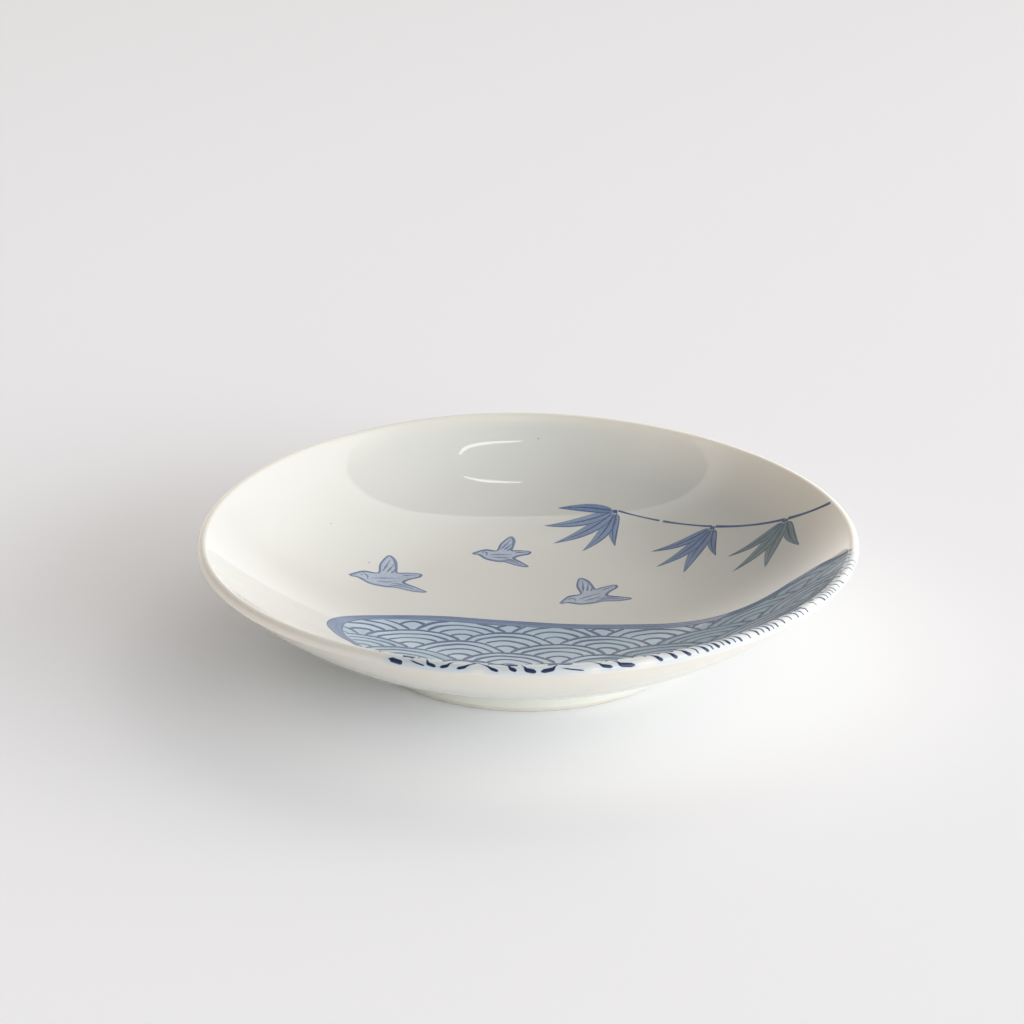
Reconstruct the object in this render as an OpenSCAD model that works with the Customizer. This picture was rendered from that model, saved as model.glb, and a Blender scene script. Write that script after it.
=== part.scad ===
// Small porcelain dish for soy sauce: a shallow round bowl on a turned foot ring,
// glazed all over except for the edge that it stands on, and painted in cobalt
// under the glaze with a field of waves, three plovers and a spray of bamboo.
// Millimetres, +Z up. The origin is on the table, under the middle of the dish.

/* [Dish] */
// Diameter over the lip
dish_d = 95; // [90:1:105]
// Height from the table to the top of the lip
dish_h = 18.6; // [17.6:0.1:19.6]
// Thickness of the rounded lip, over the glaze
lip_t = 1.7; // [1.4:0.1:1.9]
// Height of the middle of the eating surface above the table
floor_h = 4.9; // [4.6:0.1:5.6]
// Radius of the gentle sweep of the inside floor
floor_curve_r = 200; // [180:5:260]
// Radius of the sweep from the inside floor up to the lip
wall_curve_r = 44; // [40:1:48]
// Radius of the sweep of the outside wall from the foot to the lip
under_curve_r = 55; // [52:1:64]
// Thickness of the glaze
glaze_t = 0.25; // [0.2:0.01:0.3]

/* [Foot] */
// Diameter of the foot ring
foot_d = 47.5; // [45:0.5:50]
// Height at which the outside wall leaves the foot ring
foot_h = 3; // [2.8:0.1:3.4]
// Width of the foot ring, from its outside to its inside
foot_w = 2.4; // [2:0.1:3]
// Roundness of the two lower edges of the foot ring
foot_edge_r = 0.4; // [0.2:0.05:0.6]
// Roundness of the glaze pooled in the corner between the foot and the wall
foot_fillet_r = 1; // [0.6:0.1:1.4]
// Height of the glazed hollow inside the foot ring above the table
well_h = 2; // [1.6:0.1:2.2]
// Height of the bare clay at the bottom of the foot ring
bare_h = 0.7; // [0.7:0.05:1.2]

/* [Painting] */
// Depth of the strokes on the lip and along the shore in the glaze
line_t = 0.08; // [0.05:0.01:0.12]
// Width of the bamboo's brushed stem at its foot
stem_w = 0.7; // [0.5:0.05:1]
// Length of a plover from its beak to its tail
plover_l = 11; // [9:0.5:13]
// Length of the longest bamboo leaf
leaf_l = 11; // [9:0.5:12]
// Width of the longest bamboo leaf
leaf_w = 2.1; // [1.4:0.1:2.4]

/* [Hidden] */
$fn = 120;

porcelain = [0.90, 0.87, 0.82];
bare_clay = [0.80, 0.74, 0.66];
clear_glaze = [0.95, 0.95, 0.93];
pale_wash = [0.72, 0.77, 0.83];
mid_blue = [0.36, 0.44, 0.62];
line_blue = [0.30, 0.37, 0.52];
navy = [0.06, 0.12, 0.30];
teal_grey = [0.42, 0.52, 0.54];

dish_r = dish_d / 2;
lip_r = lip_t / 2;
foot_r = foot_d / 2;
foot_in_r = foot_r - foot_w;
base_h = well_h + glaze_t;
over = lip_t;

// Point where two circles meet: side is 1 on the left of the line from p to q, -1 on its right
function meet(p, rp, q, rq, side) = let(
    d = norm(q - p),
    a = (rp * rp - rq * rq + d * d) / (2 * d),
    h = sqrt(max(rp * rp - a * a, 0)),
    u = (q - p) / d
) p + u * a + [-u.y, u.x] * h * side;

// Middle of the lip's round edge, then of the floor's, wall's and underside's sweeps
lip_c = [dish_r - lip_r, dish_h - lip_r];
floor_c = [0, floor_h + floor_curve_r];
wall_c = meet(floor_c, floor_curve_r - wall_curve_r, lip_c, wall_curve_r + lip_r, -1);
under_c = meet(lip_c, under_curve_r - lip_r, [foot_r, foot_h], under_curve_r - glaze_t, -1);

// Unit directions from the lip's middle towards the inside and the outside of the wall
lip_in = (wall_c - lip_c) / norm(wall_c - lip_c);
lip_out = (lip_c - under_c) / norm(lip_c - under_c);

// Where the floor's sweep turns into the wall's
sweep_change = floor_c + (wall_c - floor_c) / norm(wall_c - floor_c) * floor_curve_r;

// Outline of the space inside the dish, where the clay's surface is raised by t
module hollow_outline(t) {
    translate(wall_c) circle(r = wall_curve_r + glaze_t - t, $fn = 360);
    intersection() {
        translate(floor_c) circle(r = floor_curve_r + glaze_t - t, $fn = 720);
        polygon([[0, floor_c.y], [0, 0], [sweep_change.x, 0], sweep_change, floor_c]);
    }
}

// Half section of floor, wall and lip without the foot: t is 0 on the clay, glaze_t on the glaze
module bowl_outline(t) {
    difference() {
        intersection() {
            translate(under_c) circle(r = under_curve_r - glaze_t + t, $fn = 720);
            polygon([
                [0, base_h], [dish_r + over, base_h], [dish_r + over, lip_c.y],
                lip_c + lip_out * over, lip_c, lip_c + lip_in * over, [0, lip_c.y + over]
            ]);
        }
        hollow_outline(t);
    }
    translate(lip_c) circle(r = lip_r - glaze_t + t, $fn = 48);
}

// The inside of the dish and the round top of its lip
module upper_side() {
    intersection() {
        hollow_outline(glaze_t - lip_r);
        square([lip_c.x, dish_h + over]);
    }
    translate(lip_c) square(lip_t);
}

// Layer of the glaze between two depths, on the upper side
module upper_coat(low, high) {
    rotate_extrude($fn = 360) intersection() {
        difference() {
            bowl_outline(high);
            bowl_outline(low);
        }
        upper_side();
    }
}

// Clay: floor, wall and lip in one turned body
module dish_body() {
    color(porcelain) rotate_extrude($fn = 360) intersection() {
        bowl_outline(0);
        translate([0, base_h]) square([dish_r, dish_h]);
    }
}

// Section of the foot ring up to the wall that it carries
module foot_outline() {
    for (x = [foot_in_r + foot_edge_r, foot_r - foot_edge_r])
        translate([x, foot_edge_r]) circle(r = foot_edge_r, $fn = 48);
    translate([foot_in_r + foot_edge_r, 0]) square([foot_w - 2 * foot_edge_r, foot_h]);
    translate([foot_in_r, foot_edge_r]) square([foot_w, foot_h - foot_edge_r]);
}

module foot_ring() {
    color(bare_clay) rotate_extrude($fn = 360) difference() {
        foot_outline();
        intersection() {
            translate(under_c) circle(r = under_curve_r - glaze_t, $fn = 720);
            translate([0, base_h]) square([dish_r, dish_h]);
        }
    }
}

// Clear glaze of the eating surface and the lip, where nothing is painted
module inside_glaze() {
    color(clear_glaze) difference() {
        upper_coat(0, glaze_t);
        wave_field();
        drawn_down() {
            plover_flight();
            leaf_sprays();
            stem_outline();
        }
    }
}

// Glaze of the outside wall and of the foot ring's outer face, with its pooled corner
module outside_glaze() {
    fillet_x = foot_r + glaze_t + foot_fillet_r;
    reach = under_curve_r + foot_fillet_r;
    fillet_c = [fillet_x, under_c.y - sqrt(reach * reach - pow(fillet_x - under_c.x, 2))];
    fillet_top = fillet_c + (under_c - fillet_c) / norm(under_c - fillet_c) * foot_fillet_r;
    color(clear_glaze) rotate_extrude($fn = 360) {
        difference() {
            intersection() {
                bowl_outline(glaze_t);
                translate([foot_r, base_h]) square([dish_r, dish_h]);
            }
            bowl_outline(0);
            upper_side();
        }
        difference() {
            union() {
                translate([foot_r, bare_h]) square([glaze_t, foot_h - bare_h + glaze_t]);
                difference() {
                    polygon([
                        [foot_r, fillet_c.y], fillet_c, fillet_top, [foot_r, foot_h + glaze_t]
                    ]);
                    translate(fillet_c) circle(r = foot_fillet_r, $fn = 72);
                }
            }
            translate(under_c) circle(r = under_curve_r - glaze_t, $fn = 720);
        }
    }
}

// Glaze under the floor and on the foot ring's inner face
module foot_well_glaze() {
    color(clear_glaze) rotate_extrude($fn = 360) {
        translate([0, well_h]) square([foot_in_r, glaze_t]);
        translate([foot_in_r - glaze_t, bare_h]) square([glaze_t, base_h - bare_h]);
    }
}

// Shore of the wave field, as shares of the dish's radius: across, towards the back, band width
shore_shares = [
    [-0.4, -1.06, 0.042], [-0.41, -0.84, 0.03], [-0.44, -0.6, 0.02], [-0.5, -0.43, 0.018],
    [-0.56, -0.355, 0.03], [-0.597, -0.275, 0.046], [-0.58, -0.196, 0.04], [-0.513, -0.132, 0.028],
    [-0.4, -0.087, 0.028], [-0.25, -0.07, 0.034], [-0.085, -0.085, 0.038], [0.085, -0.114, 0.032],
    [0.25, -0.139, 0.03], [0.42, -0.166, 0.036], [0.57, -0.188, 0.032], [0.693, -0.174, 0.03],
    [0.797, -0.138, 0.026], [0.88, -0.137, 0.022], [0.945, -0.189, 0.02], [1.06, -0.26, 0.02]
];
shore_steps = 4;

// Smooth curve through four points, at the share s of the way from b to c
function between(a, b, c, d, s) =
    b + (c - a) * s / 2 + (2 * a - 5 * b + 4 * c - d) * s * s / 2
    + (3 * b - a - 3 * c + d) * s * s * s / 2;
shore_last = len(shore_shares) - 1;
shore = [
    for (i = [0 : shore_last - 1], k = [0 : shore_steps - 1]) dish_r * between(
        shore_shares[max(i - 1, 0)], shore_shares[i], shore_shares[i + 1],
        shore_shares[min(i + 2, shore_last)], k / shore_steps),
    dish_r * shore_shares[shore_last]
];
shore_edge = [for (p = shore) [p.x, p.y]];

// Inner edge of the band along the shore, on the water's side
shore_inner = [
    for (i = [0 : len(shore) - 1]) let(
        along = shore_edge[min(i + 1, len(shore) - 1)] - shore_edge[max(i - 1, 0)]
    ) shore_edge[i] + [along.y, -along.x] / norm(along) * shore[i].z
];
front_corner = [shore_edge[len(shore) - 1].x, shore_edge[0].y];

// A flat drawing taken straight down through the dish
module drawn_down() {
    linear_extrude(dish_h + over) children();
}

// Part of the glaze that holds a flat drawing, from the depth low up to its surface
module painted(low) {
    intersection() {
        upper_coat(low, glaze_t);
        drawn_down() children();
    }
}

module wave_field() {
    drawn_down() polygon(concat(shore_edge, [front_corner]));
}

// Pale wash that lies under the whole field of waves
module wave_wash() {
    color(pale_wash) intersection() {
        upper_coat(0, glaze_t - line_t);
        wave_field();
    }
}

// Thick stroke along the shore
module wave_band() {
    shore_back = [for (i = [len(shore) - 1 : -1 : 0]) shore_inner[i]];
    color(mid_blue) painted(glaze_t - line_t) polygon(concat(shore_edge, shore_back));
}

// Strokes that end on the lip: middle and width of each, in degrees round the dish
lip_marks = [
    [248.7, 2.4], [252.3, 1.2], [254.7, 1.3], [256.6, 1.1], [259.3, 1.2], [264.6, 1.1],
    [267.5, 0.9], [270.2, 1.5], [272.6, 1.8], [276.6, 3.6], [282, 1.5], [285.2, 2.2],
    [290.5, 1.1], [293, 1], [295.3, 1.2], [298.6, 1], [300.7, 0.9], [302.8, 0.8],
    [305.2, 0.7], [308.8, 0.6], [311.2, 0.6], [313.2, 0.5], [314.9, 0.5], [318.4, 0.4],
    [321.1, 0.4], [326.6, 0.9], [329, 0.5], [331, 0.5], [334.6, 0.9], [340.5, 0.4], [344, 0.4]
];
module lip_strokes() {
    color(navy) intersection() {
        upper_coat(glaze_t - line_t, glaze_t);
        for (m = lip_marks) rotate([0, 0, m[0] - m[1] / 2])
            rotate_extrude(angle = m[1], $fn = 360)
                translate([lip_c.x - lip_r, lip_c.y]) square([2 * lip_t, lip_t]);
    }
}

// Plovers in flight: middle as shares of the dish's radius, turn in degrees, size share
plover_shares = [[-0.44, 0.17, 18, 1], [-0.08, 0.38, 4, 0.8], [0.20, 0.08, 32, 0.9]];

// One plover as a smooth outline, in shares of its length: the beak points left
bird_shares = [
    [-0.50, 0.07], [-0.37, 0.16], [-0.25, 0.20], [-0.13, 0.17], [-0.05, 0.20], [0.03, 0.42],
    [0.20, 0.62], [0.25, 0.50], [0.22, 0.32], [0.19, 0.17], [0.36, 0.15], [0.50, 0.10],
    [0.46, 0.02], [0.30, -0.03], [0.20, -0.12], [0.33, -0.29], [0.42, -0.44], [0.24, -0.38],
    [0.05, -0.24], [-0.10, -0.20], [-0.27, -0.12], [-0.36, 0.00], [-0.41, 0.045]
];
bird_steps = 3;
module plover() {
    n = len(bird_shares);
    polygon([
        for (i = [0 : n - 1], k = [0 : bird_steps - 1]) plover_l * between(
            bird_shares[(i + n - 1) % n], bird_shares[i], bird_shares[(i + 1) % n],
            bird_shares[(i + 2) % n], k / bird_steps)
    ]);
}
module plover_flight() {
    for (p = plover_shares)
        translate([p[0] * dish_r, p[1] * dish_r]) rotate(p[2]) scale(p[3]) plover();
}
module plovers() {
    color(mid_blue) painted(0) plover_flight();
}

// Bamboo stem as a curve through three points, in shares of the dish's radius
stem_shares = [[0.955, 0.20], [0.66, 0.36], [0.30, 0.60]];
stem_steps = 10;
function stem_at(s) = dish_r * (
    stem_shares[0] * (1 - s) * (1 - s) + stem_shares[1] * 2 * s * (1 - s) + stem_shares[2] * s * s
);
function stem_side(s) = let(
    along = (stem_shares[1] - stem_shares[0]) * (1 - s) + (stem_shares[2] - stem_shares[1]) * s
) [along.y, -along.x] / norm(along) * stem_w * (1 - s / 2) / 2;

// Leaves: place along the stem as a share of it, turn in degrees, size share
leaf_shares = [
    [0.22, -162, 0.8], [0.22, -138, 1], [0.22, -112, 0.95], [0.22, -84, 0.75],
    [0.56, -166, 0.85], [0.56, -142, 1], [0.56, -117, 1], [0.56, -92, 0.65],
    [1, 168, 0.8], [1, -170, 1], [1, -146, 1.05], [1, -121, 0.95], [1, -94, 0.75]
];
leaf_steps = 8;

// One leaf from its foot to its long point: widest at a third of its length
module leaf() {
    edge = [
        for (i = [0 : leaf_steps]) let(s = i / leaf_steps)
            [leaf_l * s, leaf_w / 2 * pow(sin(180 * pow(s, 0.6)), 0.9)]
    ];
    polygon(concat(edge, [for (i = [leaf_steps - 1 : -1 : 1]) [edge[i].x, -edge[i].y]]));
}
module leaf_sprays() {
    for (l = leaf_shares)
        translate(stem_at(l[0])) rotate(l[1]) translate([stem_w, 0]) scale(l[2]) leaf();
}
module bamboo_leaves() {
    color(teal_grey) painted(0) leaf_sprays();
}
module stem_outline() {
    polygon(concat(
        [for (i = [0 : stem_steps]) let(s = i / stem_steps) stem_at(s) + stem_side(s)],
        [for (i = [stem_steps : -1 : 0]) let(s = i / stem_steps) stem_at(s) - stem_side(s)]
    ));
}
module bamboo_stem() {
    color(line_blue) painted(0) stem_outline();
}

dish_body();
foot_ring();
inside_glaze();
outside_glaze();
foot_well_glaze();
wave_wash();
wave_band();
lip_strokes();
plovers();
bamboo_leaves();
bamboo_stem();
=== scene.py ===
# %% [markdown]
# A small porcelain dish for soy sauce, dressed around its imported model.
# A real one is thrown, turned, painted with cobalt, dipped in clear glaze and fired. The scene follows
# that order: first the turned shapes, then the painting in the glaze, then the light and the table.
# Every length below is in metres, because Blender works in metres, and `mm` turns a size in
# millimetres into one.

# %% Load the fixed model
import math
import bmesh
import bpy
import numpy as np
from mathutils import Matrix, Vector
from mathutils.geometry import delaunay_2d_cdt


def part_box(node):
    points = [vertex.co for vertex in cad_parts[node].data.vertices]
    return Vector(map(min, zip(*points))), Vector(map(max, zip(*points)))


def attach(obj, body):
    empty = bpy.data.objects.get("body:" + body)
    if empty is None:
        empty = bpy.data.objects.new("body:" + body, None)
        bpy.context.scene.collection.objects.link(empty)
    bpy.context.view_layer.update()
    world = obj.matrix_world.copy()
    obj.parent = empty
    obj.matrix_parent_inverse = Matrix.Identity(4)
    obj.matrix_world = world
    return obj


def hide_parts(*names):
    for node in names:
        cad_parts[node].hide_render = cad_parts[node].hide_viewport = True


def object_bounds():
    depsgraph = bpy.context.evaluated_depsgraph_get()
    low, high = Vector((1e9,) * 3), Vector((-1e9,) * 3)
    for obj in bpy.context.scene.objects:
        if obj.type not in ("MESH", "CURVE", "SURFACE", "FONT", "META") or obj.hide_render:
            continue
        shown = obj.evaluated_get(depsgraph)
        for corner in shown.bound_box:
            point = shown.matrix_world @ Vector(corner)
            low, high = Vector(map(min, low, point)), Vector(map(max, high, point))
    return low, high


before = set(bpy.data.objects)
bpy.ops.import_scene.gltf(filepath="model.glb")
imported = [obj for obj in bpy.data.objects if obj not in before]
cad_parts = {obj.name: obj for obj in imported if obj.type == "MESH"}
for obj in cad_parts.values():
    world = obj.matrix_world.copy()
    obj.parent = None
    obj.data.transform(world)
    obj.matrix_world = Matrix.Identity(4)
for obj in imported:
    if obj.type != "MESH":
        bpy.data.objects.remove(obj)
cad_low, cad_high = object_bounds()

mm = 0.001
print("nodes:", sorted(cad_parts))
print("box in mm:", [round(v / mm, 2) for v in (*cad_low, *cad_high)])

# %% [markdown]
# The camera comes first, so that everything after it can be judged in the picture.
# It was found by fitting the rim, the foot and the outline of the wall: a long lens, looking down at
# about 22 degrees. It aims a little above the foot, and it leans by a quarter of a degree.

# %% Camera
lens_mm = 85
sensor_mm = 36
camera_elevation = math.radians(22.118)
camera_roll = math.radians(-0.249)
camera_distance = 356.06 * mm
camera_right = -2.272 * mm
camera_up = 18.77 * mm


def place_camera():
    back = Vector((0, -math.cos(camera_elevation), math.sin(camera_elevation)))
    level = Vector((1, 0, 0))
    upright = back.cross(level)
    right = math.cos(camera_roll) * level + math.sin(camera_roll) * upright
    up = back.cross(right)
    data = bpy.data.cameras.new("camera")
    data.lens = lens_mm
    data.sensor_width = sensor_mm
    data.clip_start = 10 * mm
    camera = bpy.data.objects.new("camera", data)
    camera.matrix_world = Matrix((right, up, back)).transposed().to_4x4()
    camera.location = back * camera_distance + right * camera_right + up * camera_up
    bpy.context.scene.collection.objects.link(camera)
    bpy.context.scene.camera = camera
    return camera


camera = place_camera()
print("camera at", [round(v / mm) for v in camera.location], "mm")

# %% [markdown]
# ## The turned shape
# A potter's wheel makes one thing: an outline carried round an axis. So the dish needs only its
# outline, and that is a chain of circle arcs which touch without a corner: a very flat arc for the
# floor, a tighter one for the wall, a small circle for the lip and one long arc for the outside.
# Where two arcs touch, the middle of one lies at a known distance from the middle of the other, so
# `meet` finds each middle from two distances.

# %% Sizes of the outline
dish_r = cad_high.x
dish_h = cad_high.z
foot_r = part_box("foot_ring")[1].x
glaze_t = 0.25 * mm
lip_r = 0.85 * mm
floor_h = 4.9 * mm
floor_curve_r = 200 * mm
wall_curve_r = 44 * mm
under_curve_r = 55 * mm
foot_h = 3 * mm
foot_w = 2.4 * mm
foot_edge_r = 0.4 * mm
foot_fillet_r = 1 * mm
well_h = 2 * mm
bare_h = 0.7 * mm
print("in mm: dish radius", round(dish_r / mm, 2), "height", round(dish_h / mm, 2),
      "foot radius", round(foot_r / mm, 2))

# %% Middles of the arcs
outwards, upwards = np.array([1, 0]), np.array([0, 1])


def meet(p, p_r, q, q_r):
    """The point at distance p_r from p and q_r from q, on the right of the way from p to q."""
    p, q = np.array(p), np.array(q)
    d = np.hypot(*(q - p))
    along = (p_r**2 - q_r**2 + d**2) / (2 * d)
    across = math.sqrt(max(p_r**2 - along**2, 0))
    way = (q - p) / d
    return p + way * along + np.array([way[1], -way[0]]) * across


def towards(a, b, distance):
    """The point at that distance from a, on the line from a through b."""
    return a + (b - a) / np.hypot(*(b - a)) * distance


lip_c = np.array([dish_r - lip_r, dish_h - lip_r])
floor_c = np.array([0, floor_h + floor_curve_r])
wall_c = meet(floor_c, floor_curve_r - wall_curve_r, lip_c, wall_curve_r + lip_r)
under_c = meet(lip_c, under_curve_r - lip_r, (foot_r, foot_h), under_curve_r - glaze_t)
sweep_start = towards(floor_c, wall_c, floor_curve_r)
lip_inside = towards(lip_c, wall_c, lip_r)
lip_outside = towards(lip_c, under_c, -lip_r)
print("the floor turns into the wall at", round(sweep_start[0] / mm, 1), "mm from the middle")
print("the wall turns into the lip at", round(lip_inside[0] / mm, 2), "mm")


# %% Outline as a chain of points
def arc(middle, radius, start, end, steps):
    """Points of the shorter arc from the direction of start to that of end, both as seen from the middle."""
    a = math.atan2(start[1] - middle[1], start[0] - middle[0])
    b = math.atan2(end[1] - middle[1], end[0] - middle[0])
    b = a + (b - a + math.pi) % (2 * math.pi) - math.pi
    turn = np.linspace(a, b, steps + 1)
    return np.stack([middle[0] + radius * np.cos(turn), middle[1] + radius * np.sin(turn)], -1)


def inside_outline(depth):
    """From the middle of the floor to the top of the lip, at a depth under the glaze's surface."""
    floor = arc(floor_c, floor_curve_r + depth, (0, 0), sweep_start, 20)
    wall = arc(wall_c, wall_curve_r + depth, sweep_start, lip_inside, 44)
    lip = arc(lip_c, lip_r - depth, lip_inside, lip_c + upwards, 8)
    return np.concatenate([floor, wall[1:], lip[1:]])


inside_line = inside_outline(0)
print(len(inside_line), "points from the middle of the floor to the top of the lip")

# %% [markdown]
# ## Warp from the kiln
# No thin dish stays round in the fire. The rim of this one waves up and down by half a millimetre and is
# drawn in a little across one diagonal. The foot stands on the kiln shelf and stays flat, so the warp
# grows from nothing at the foot to its full size at the rim. Every piece gets it, paint included, so
# that nothing comes loose from its neighbour.

# %% Warp
sink = -0.42 * mm
lift_waves = ((2, -0.29 * mm, -0.23 * mm), (3, 0.07 * mm, -0.19 * mm))
draw_in = -0.2 * mm


def warped(points):
    """The same points after the fire, where each row of the array is a point."""
    x, y, z = points.T
    r = np.hypot(x, y)
    azimuth = np.arctan2(y, x)
    share = np.clip((r - foot_r) / (dish_r - foot_r), 0, 1) ** 2
    lift = sink + sum(a * np.cos(n * azimuth) + b * np.sin(n * azimuth) for n, a, b in lift_waves)
    wider = 1 + share * draw_in * np.sin(2 * azimuth) / dish_r
    return np.stack([x * wider, y * wider, z + share * lift], -1)


rim_circle = np.array([[dish_r * math.cos(a), dish_r * math.sin(a), dish_h] for a in np.radians(range(360))])
rim_heights = warped(rim_circle)[:, 2] / mm
print("rim height from", round(rim_heights.min(), 2), "to", round(rim_heights.max(), 2), "mm")

# %% [markdown]
# ## A wheel made of nodes
# Screw or Spin would turn the outline too, but a Geometry Nodes tree shows each step: a grid gets one
# column for each step round the wheel and one row for each point of the outline. Each grid point looks
# up its outline point and is carried to its place round the axis. Merging then closes the
# seam, and it also closes the pole where the outline meets the axis.


# %% Helper that writes node trees
class Tree:
    """One node tree with named inputs, written a node at a time."""

    def __init__(self, name, inputs):
        self.tree = bpy.data.node_groups.new(name, "GeometryNodeTree")
        for label, kind, value in inputs:
            socket = self.tree.interface.new_socket(label, in_out="INPUT", socket_type="NodeSocket" + kind)
            if value is not None:
                socket.default_value = value
        self.tree.interface.new_socket("Geometry", in_out="OUTPUT", socket_type="NodeSocketGeometry")
        self.inputs = self.tree.nodes.new("NodeGroupInput").outputs
        self.output = self.tree.nodes.new("NodeGroupOutput").inputs["Geometry"]

    def add(self, kind, links, **settings):
        """A node with its settings. links maps a socket's name or number to a value or another socket."""
        node = self.tree.nodes.new(kind)
        for key, value in settings.items():
            setattr(node, key, value)
        for key, value in links.items():
            if isinstance(value, bpy.types.NodeSocket):
                self.tree.links.new(value, node.inputs[key])
            else:
                node.inputs[key].default_value = value
        return node.outputs

    def math(self, operation, a, b=0.0):
        return self.add("ShaderNodeMath", {0: a, 1: b}, operation=operation)[0]

    def finish(self, geometry, material=None):
        """Ends the tree in Realize Instances and Set Material, and returns it."""
        real = self.add("GeometryNodeRealizeInstances", {"Geometry": geometry})["Geometry"]
        if material is not None:
            real = self.add("GeometryNodeSetMaterial", {"Geometry": real, "Material": material})["Geometry"]
        self.tree.links.new(real, self.output)
        return self.tree


def run_tree(tree, points, edges, values, attributes=()):
    """Runs a tree on a mesh of points and edges, and returns the result as a plain mesh."""
    mesh = bpy.data.meshes.new("path")
    mesh.from_pydata([tuple(p) for p in points], edges, [])
    for name, data in attributes:
        mesh.attributes.new(name, "FLOAT", "POINT").data.foreach_set("value", np.asarray(data, float))
    path = bpy.data.objects.new("path", mesh)
    bpy.context.scene.collection.objects.link(path)
    modifier = path.modifiers.new("tree", "NODES")
    modifier.node_group = tree
    for socket in tree.interface.items_tree:
        if socket.in_out == "INPUT" and socket.name in values:
            modifier[socket.identifier] = values[socket.name]
    depsgraph = bpy.context.evaluated_depsgraph_get()
    result = bpy.data.meshes.new_from_object(path.evaluated_get(depsgraph))
    path.modifiers.remove(modifier)
    bpy.data.objects.remove(path)
    return result


# %% The wheel
wheel_steps = 288
join_distance = 0.002 * mm


def wheel_tree():
    t = Tree("wheel", [("Geometry", "Geometry", None), ("Steps", "Int", wheel_steps),
                       ("Join distance", "Float", join_distance)])
    outline = t.inputs["Geometry"]
    rows = t.add("GeometryNodeAttributeDomainSize", {"Geometry": outline}, component="MESH")["Point Count"]
    columns = t.math("ADD", t.inputs["Steps"], 1)
    grid = t.add("GeometryNodeMeshGrid", {"Vertices X": columns, "Vertices Y": rows})["Mesh"]
    number = t.add("GeometryNodeInputIndex", {})["Index"]
    row = t.math("MODULO", number, rows)
    column = t.math("FLOOR", t.math("DIVIDE", number, rows))
    turn = t.math("MULTIPLY", t.math("DIVIDE", column, t.inputs["Steps"]), 2 * math.pi)
    place = t.add("GeometryNodeInputPosition", {})["Position"]
    point = t.add("GeometryNodeSampleIndex", {"Geometry": outline, "Value": place, "Index": row},
                  data_type="FLOAT_VECTOR")["Value"]
    carried = t.add("ShaderNodeVectorRotate", {"Vector": point, "Angle": turn}, rotation_type="Z_AXIS")[0]
    moved = t.add("GeometryNodeSetPosition", {"Geometry": grid, "Position": carried})["Geometry"]
    closed = t.add("GeometryNodeMergeByDistance", {"Geometry": moved, "Distance": t.inputs["Join distance"]})
    return t.finish(closed["Geometry"])


wheel = wheel_tree()
print("the wheel has", len(wheel.nodes), "nodes")

# %% [markdown]
# ## Finishes
# Glazed porcelain is one material seen through different skins, so one function makes it. The body is a
# warm white that varies a little, because the glaze pools thicker in some places. The gloss lies on
# top, and it isn't perfect: a low, slow bump bends the reflections as real glaze does. The patterns read
# Object coordinates, which are metres here, so a scale of 100 gives a feature about every 10 mm.
#
# At the rim the glaze runs thin and the warm clay shows, and that band is painted a little lighter as well:
# painted light for the light through the thin wall. At the right the light shines through the wall, and real
# light in the clay would cost a lot of time, so a paler colour is painted there as painted light. The same
# colour draws a painted highlight along the left lip, and towards the lit left side the rim's painted light
# fades into the plain white.


# %% Helper that writes materials
class Finish:
    """One material with a Principled shader, written a node at a time."""

    def __init__(self, name):
        self.material = bpy.data.materials.new(name)
        self.material.use_nodes = True
        self.tree = self.material.node_tree
        self.shader = self.tree.nodes["Principled BSDF"]
        self.place = self.add("ShaderNodeTexCoord", {})["Object"]

    add = Tree.add
    math = Tree.math

    def noise(self, scale, detail, vector=None, roughness=0.5):
        links = {"Vector": vector or self.place, "Scale": scale, "Detail": detail, "Roughness": roughness}
        return self.add("ShaderNodeTexNoise", links)["Fac"]

    def attribute(self, name):
        return self.add("ShaderNodeAttribute", {}, attribute_name=name)["Fac"]

    def spread(self, value, low, high, to_low=0.0, to_high=1.0):
        links = {"Value": value, "From Min": low, "From Max": high, "To Min": to_low, "To Max": to_high}
        return self.add("ShaderNodeMapRange", links)["Result"]

    def mix(self, share, a, b):
        """The colour a where share is 0 and b where it is 1."""
        links = {0: share, 6: a if isinstance(a, bpy.types.NodeSocket) else (*a, 1)}
        links[7] = b if isinstance(b, bpy.types.NodeSocket) else (*b, 1)
        return self.add("ShaderNodeMix", links, data_type="RGBA")[2]

    def set(self, **values):
        for name, value in values.items():
            socket = self.shader.inputs[name.replace("_", " ")]
            if isinstance(value, bpy.types.NodeSocket):
                self.tree.links.new(value, socket)
            else:
                socket.default_value = value

    def bump(self, height, distance, below=None):
        links = {"Height": height, "Distance": distance, "Strength": 1.0}
        if below is not None:
            links["Normal"] = below
        return self.add("ShaderNodeBump", links)["Normal"]


# %% Glaze over porcelain, and what is painted in it
porcelain_white = (0.64, 0.64, 0.61)
porcelain_cool = (0.61, 0.62, 0.588)
glaze_roughness = 0.025
glaze_ior = 1.5
ripple_scale = 55
ripple_depth = 0.014 * mm
ring_scale = 700
patch_scale = 28


def place_parts(finish):
    """x, z and the distance from the axis."""
    x, y, z = finish.add("ShaderNodeSeparateXYZ", {"Vector": finish.place}).values()
    squares = finish.math("ADD", finish.math("MULTIPLY", x, x), finish.math("MULTIPLY", y, y))
    return x, z, finish.math("SQRT", squares)


def glazed(finish, body, rings=0.0, roughness=glaze_roughness):
    """Ends a finish in a glossy glaze over a body colour. rings is the depth of turning lines."""
    normal = finish.bump(finish.noise(ripple_scale, 1.0), ripple_depth)
    if rings:
        _, z, r = place_parts(finish)
        along = finish.add("ShaderNodeCombineXYZ", {"X": finish.math("ADD", r, z)})["Vector"]
        normal = finish.bump(finish.noise(ring_scale, 3.0, along, 0.6), rings, below=normal)
    finish.set(Base_Color=body, Roughness=roughness, IOR=glaze_ior, Normal=normal)
    return finish.material


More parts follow.
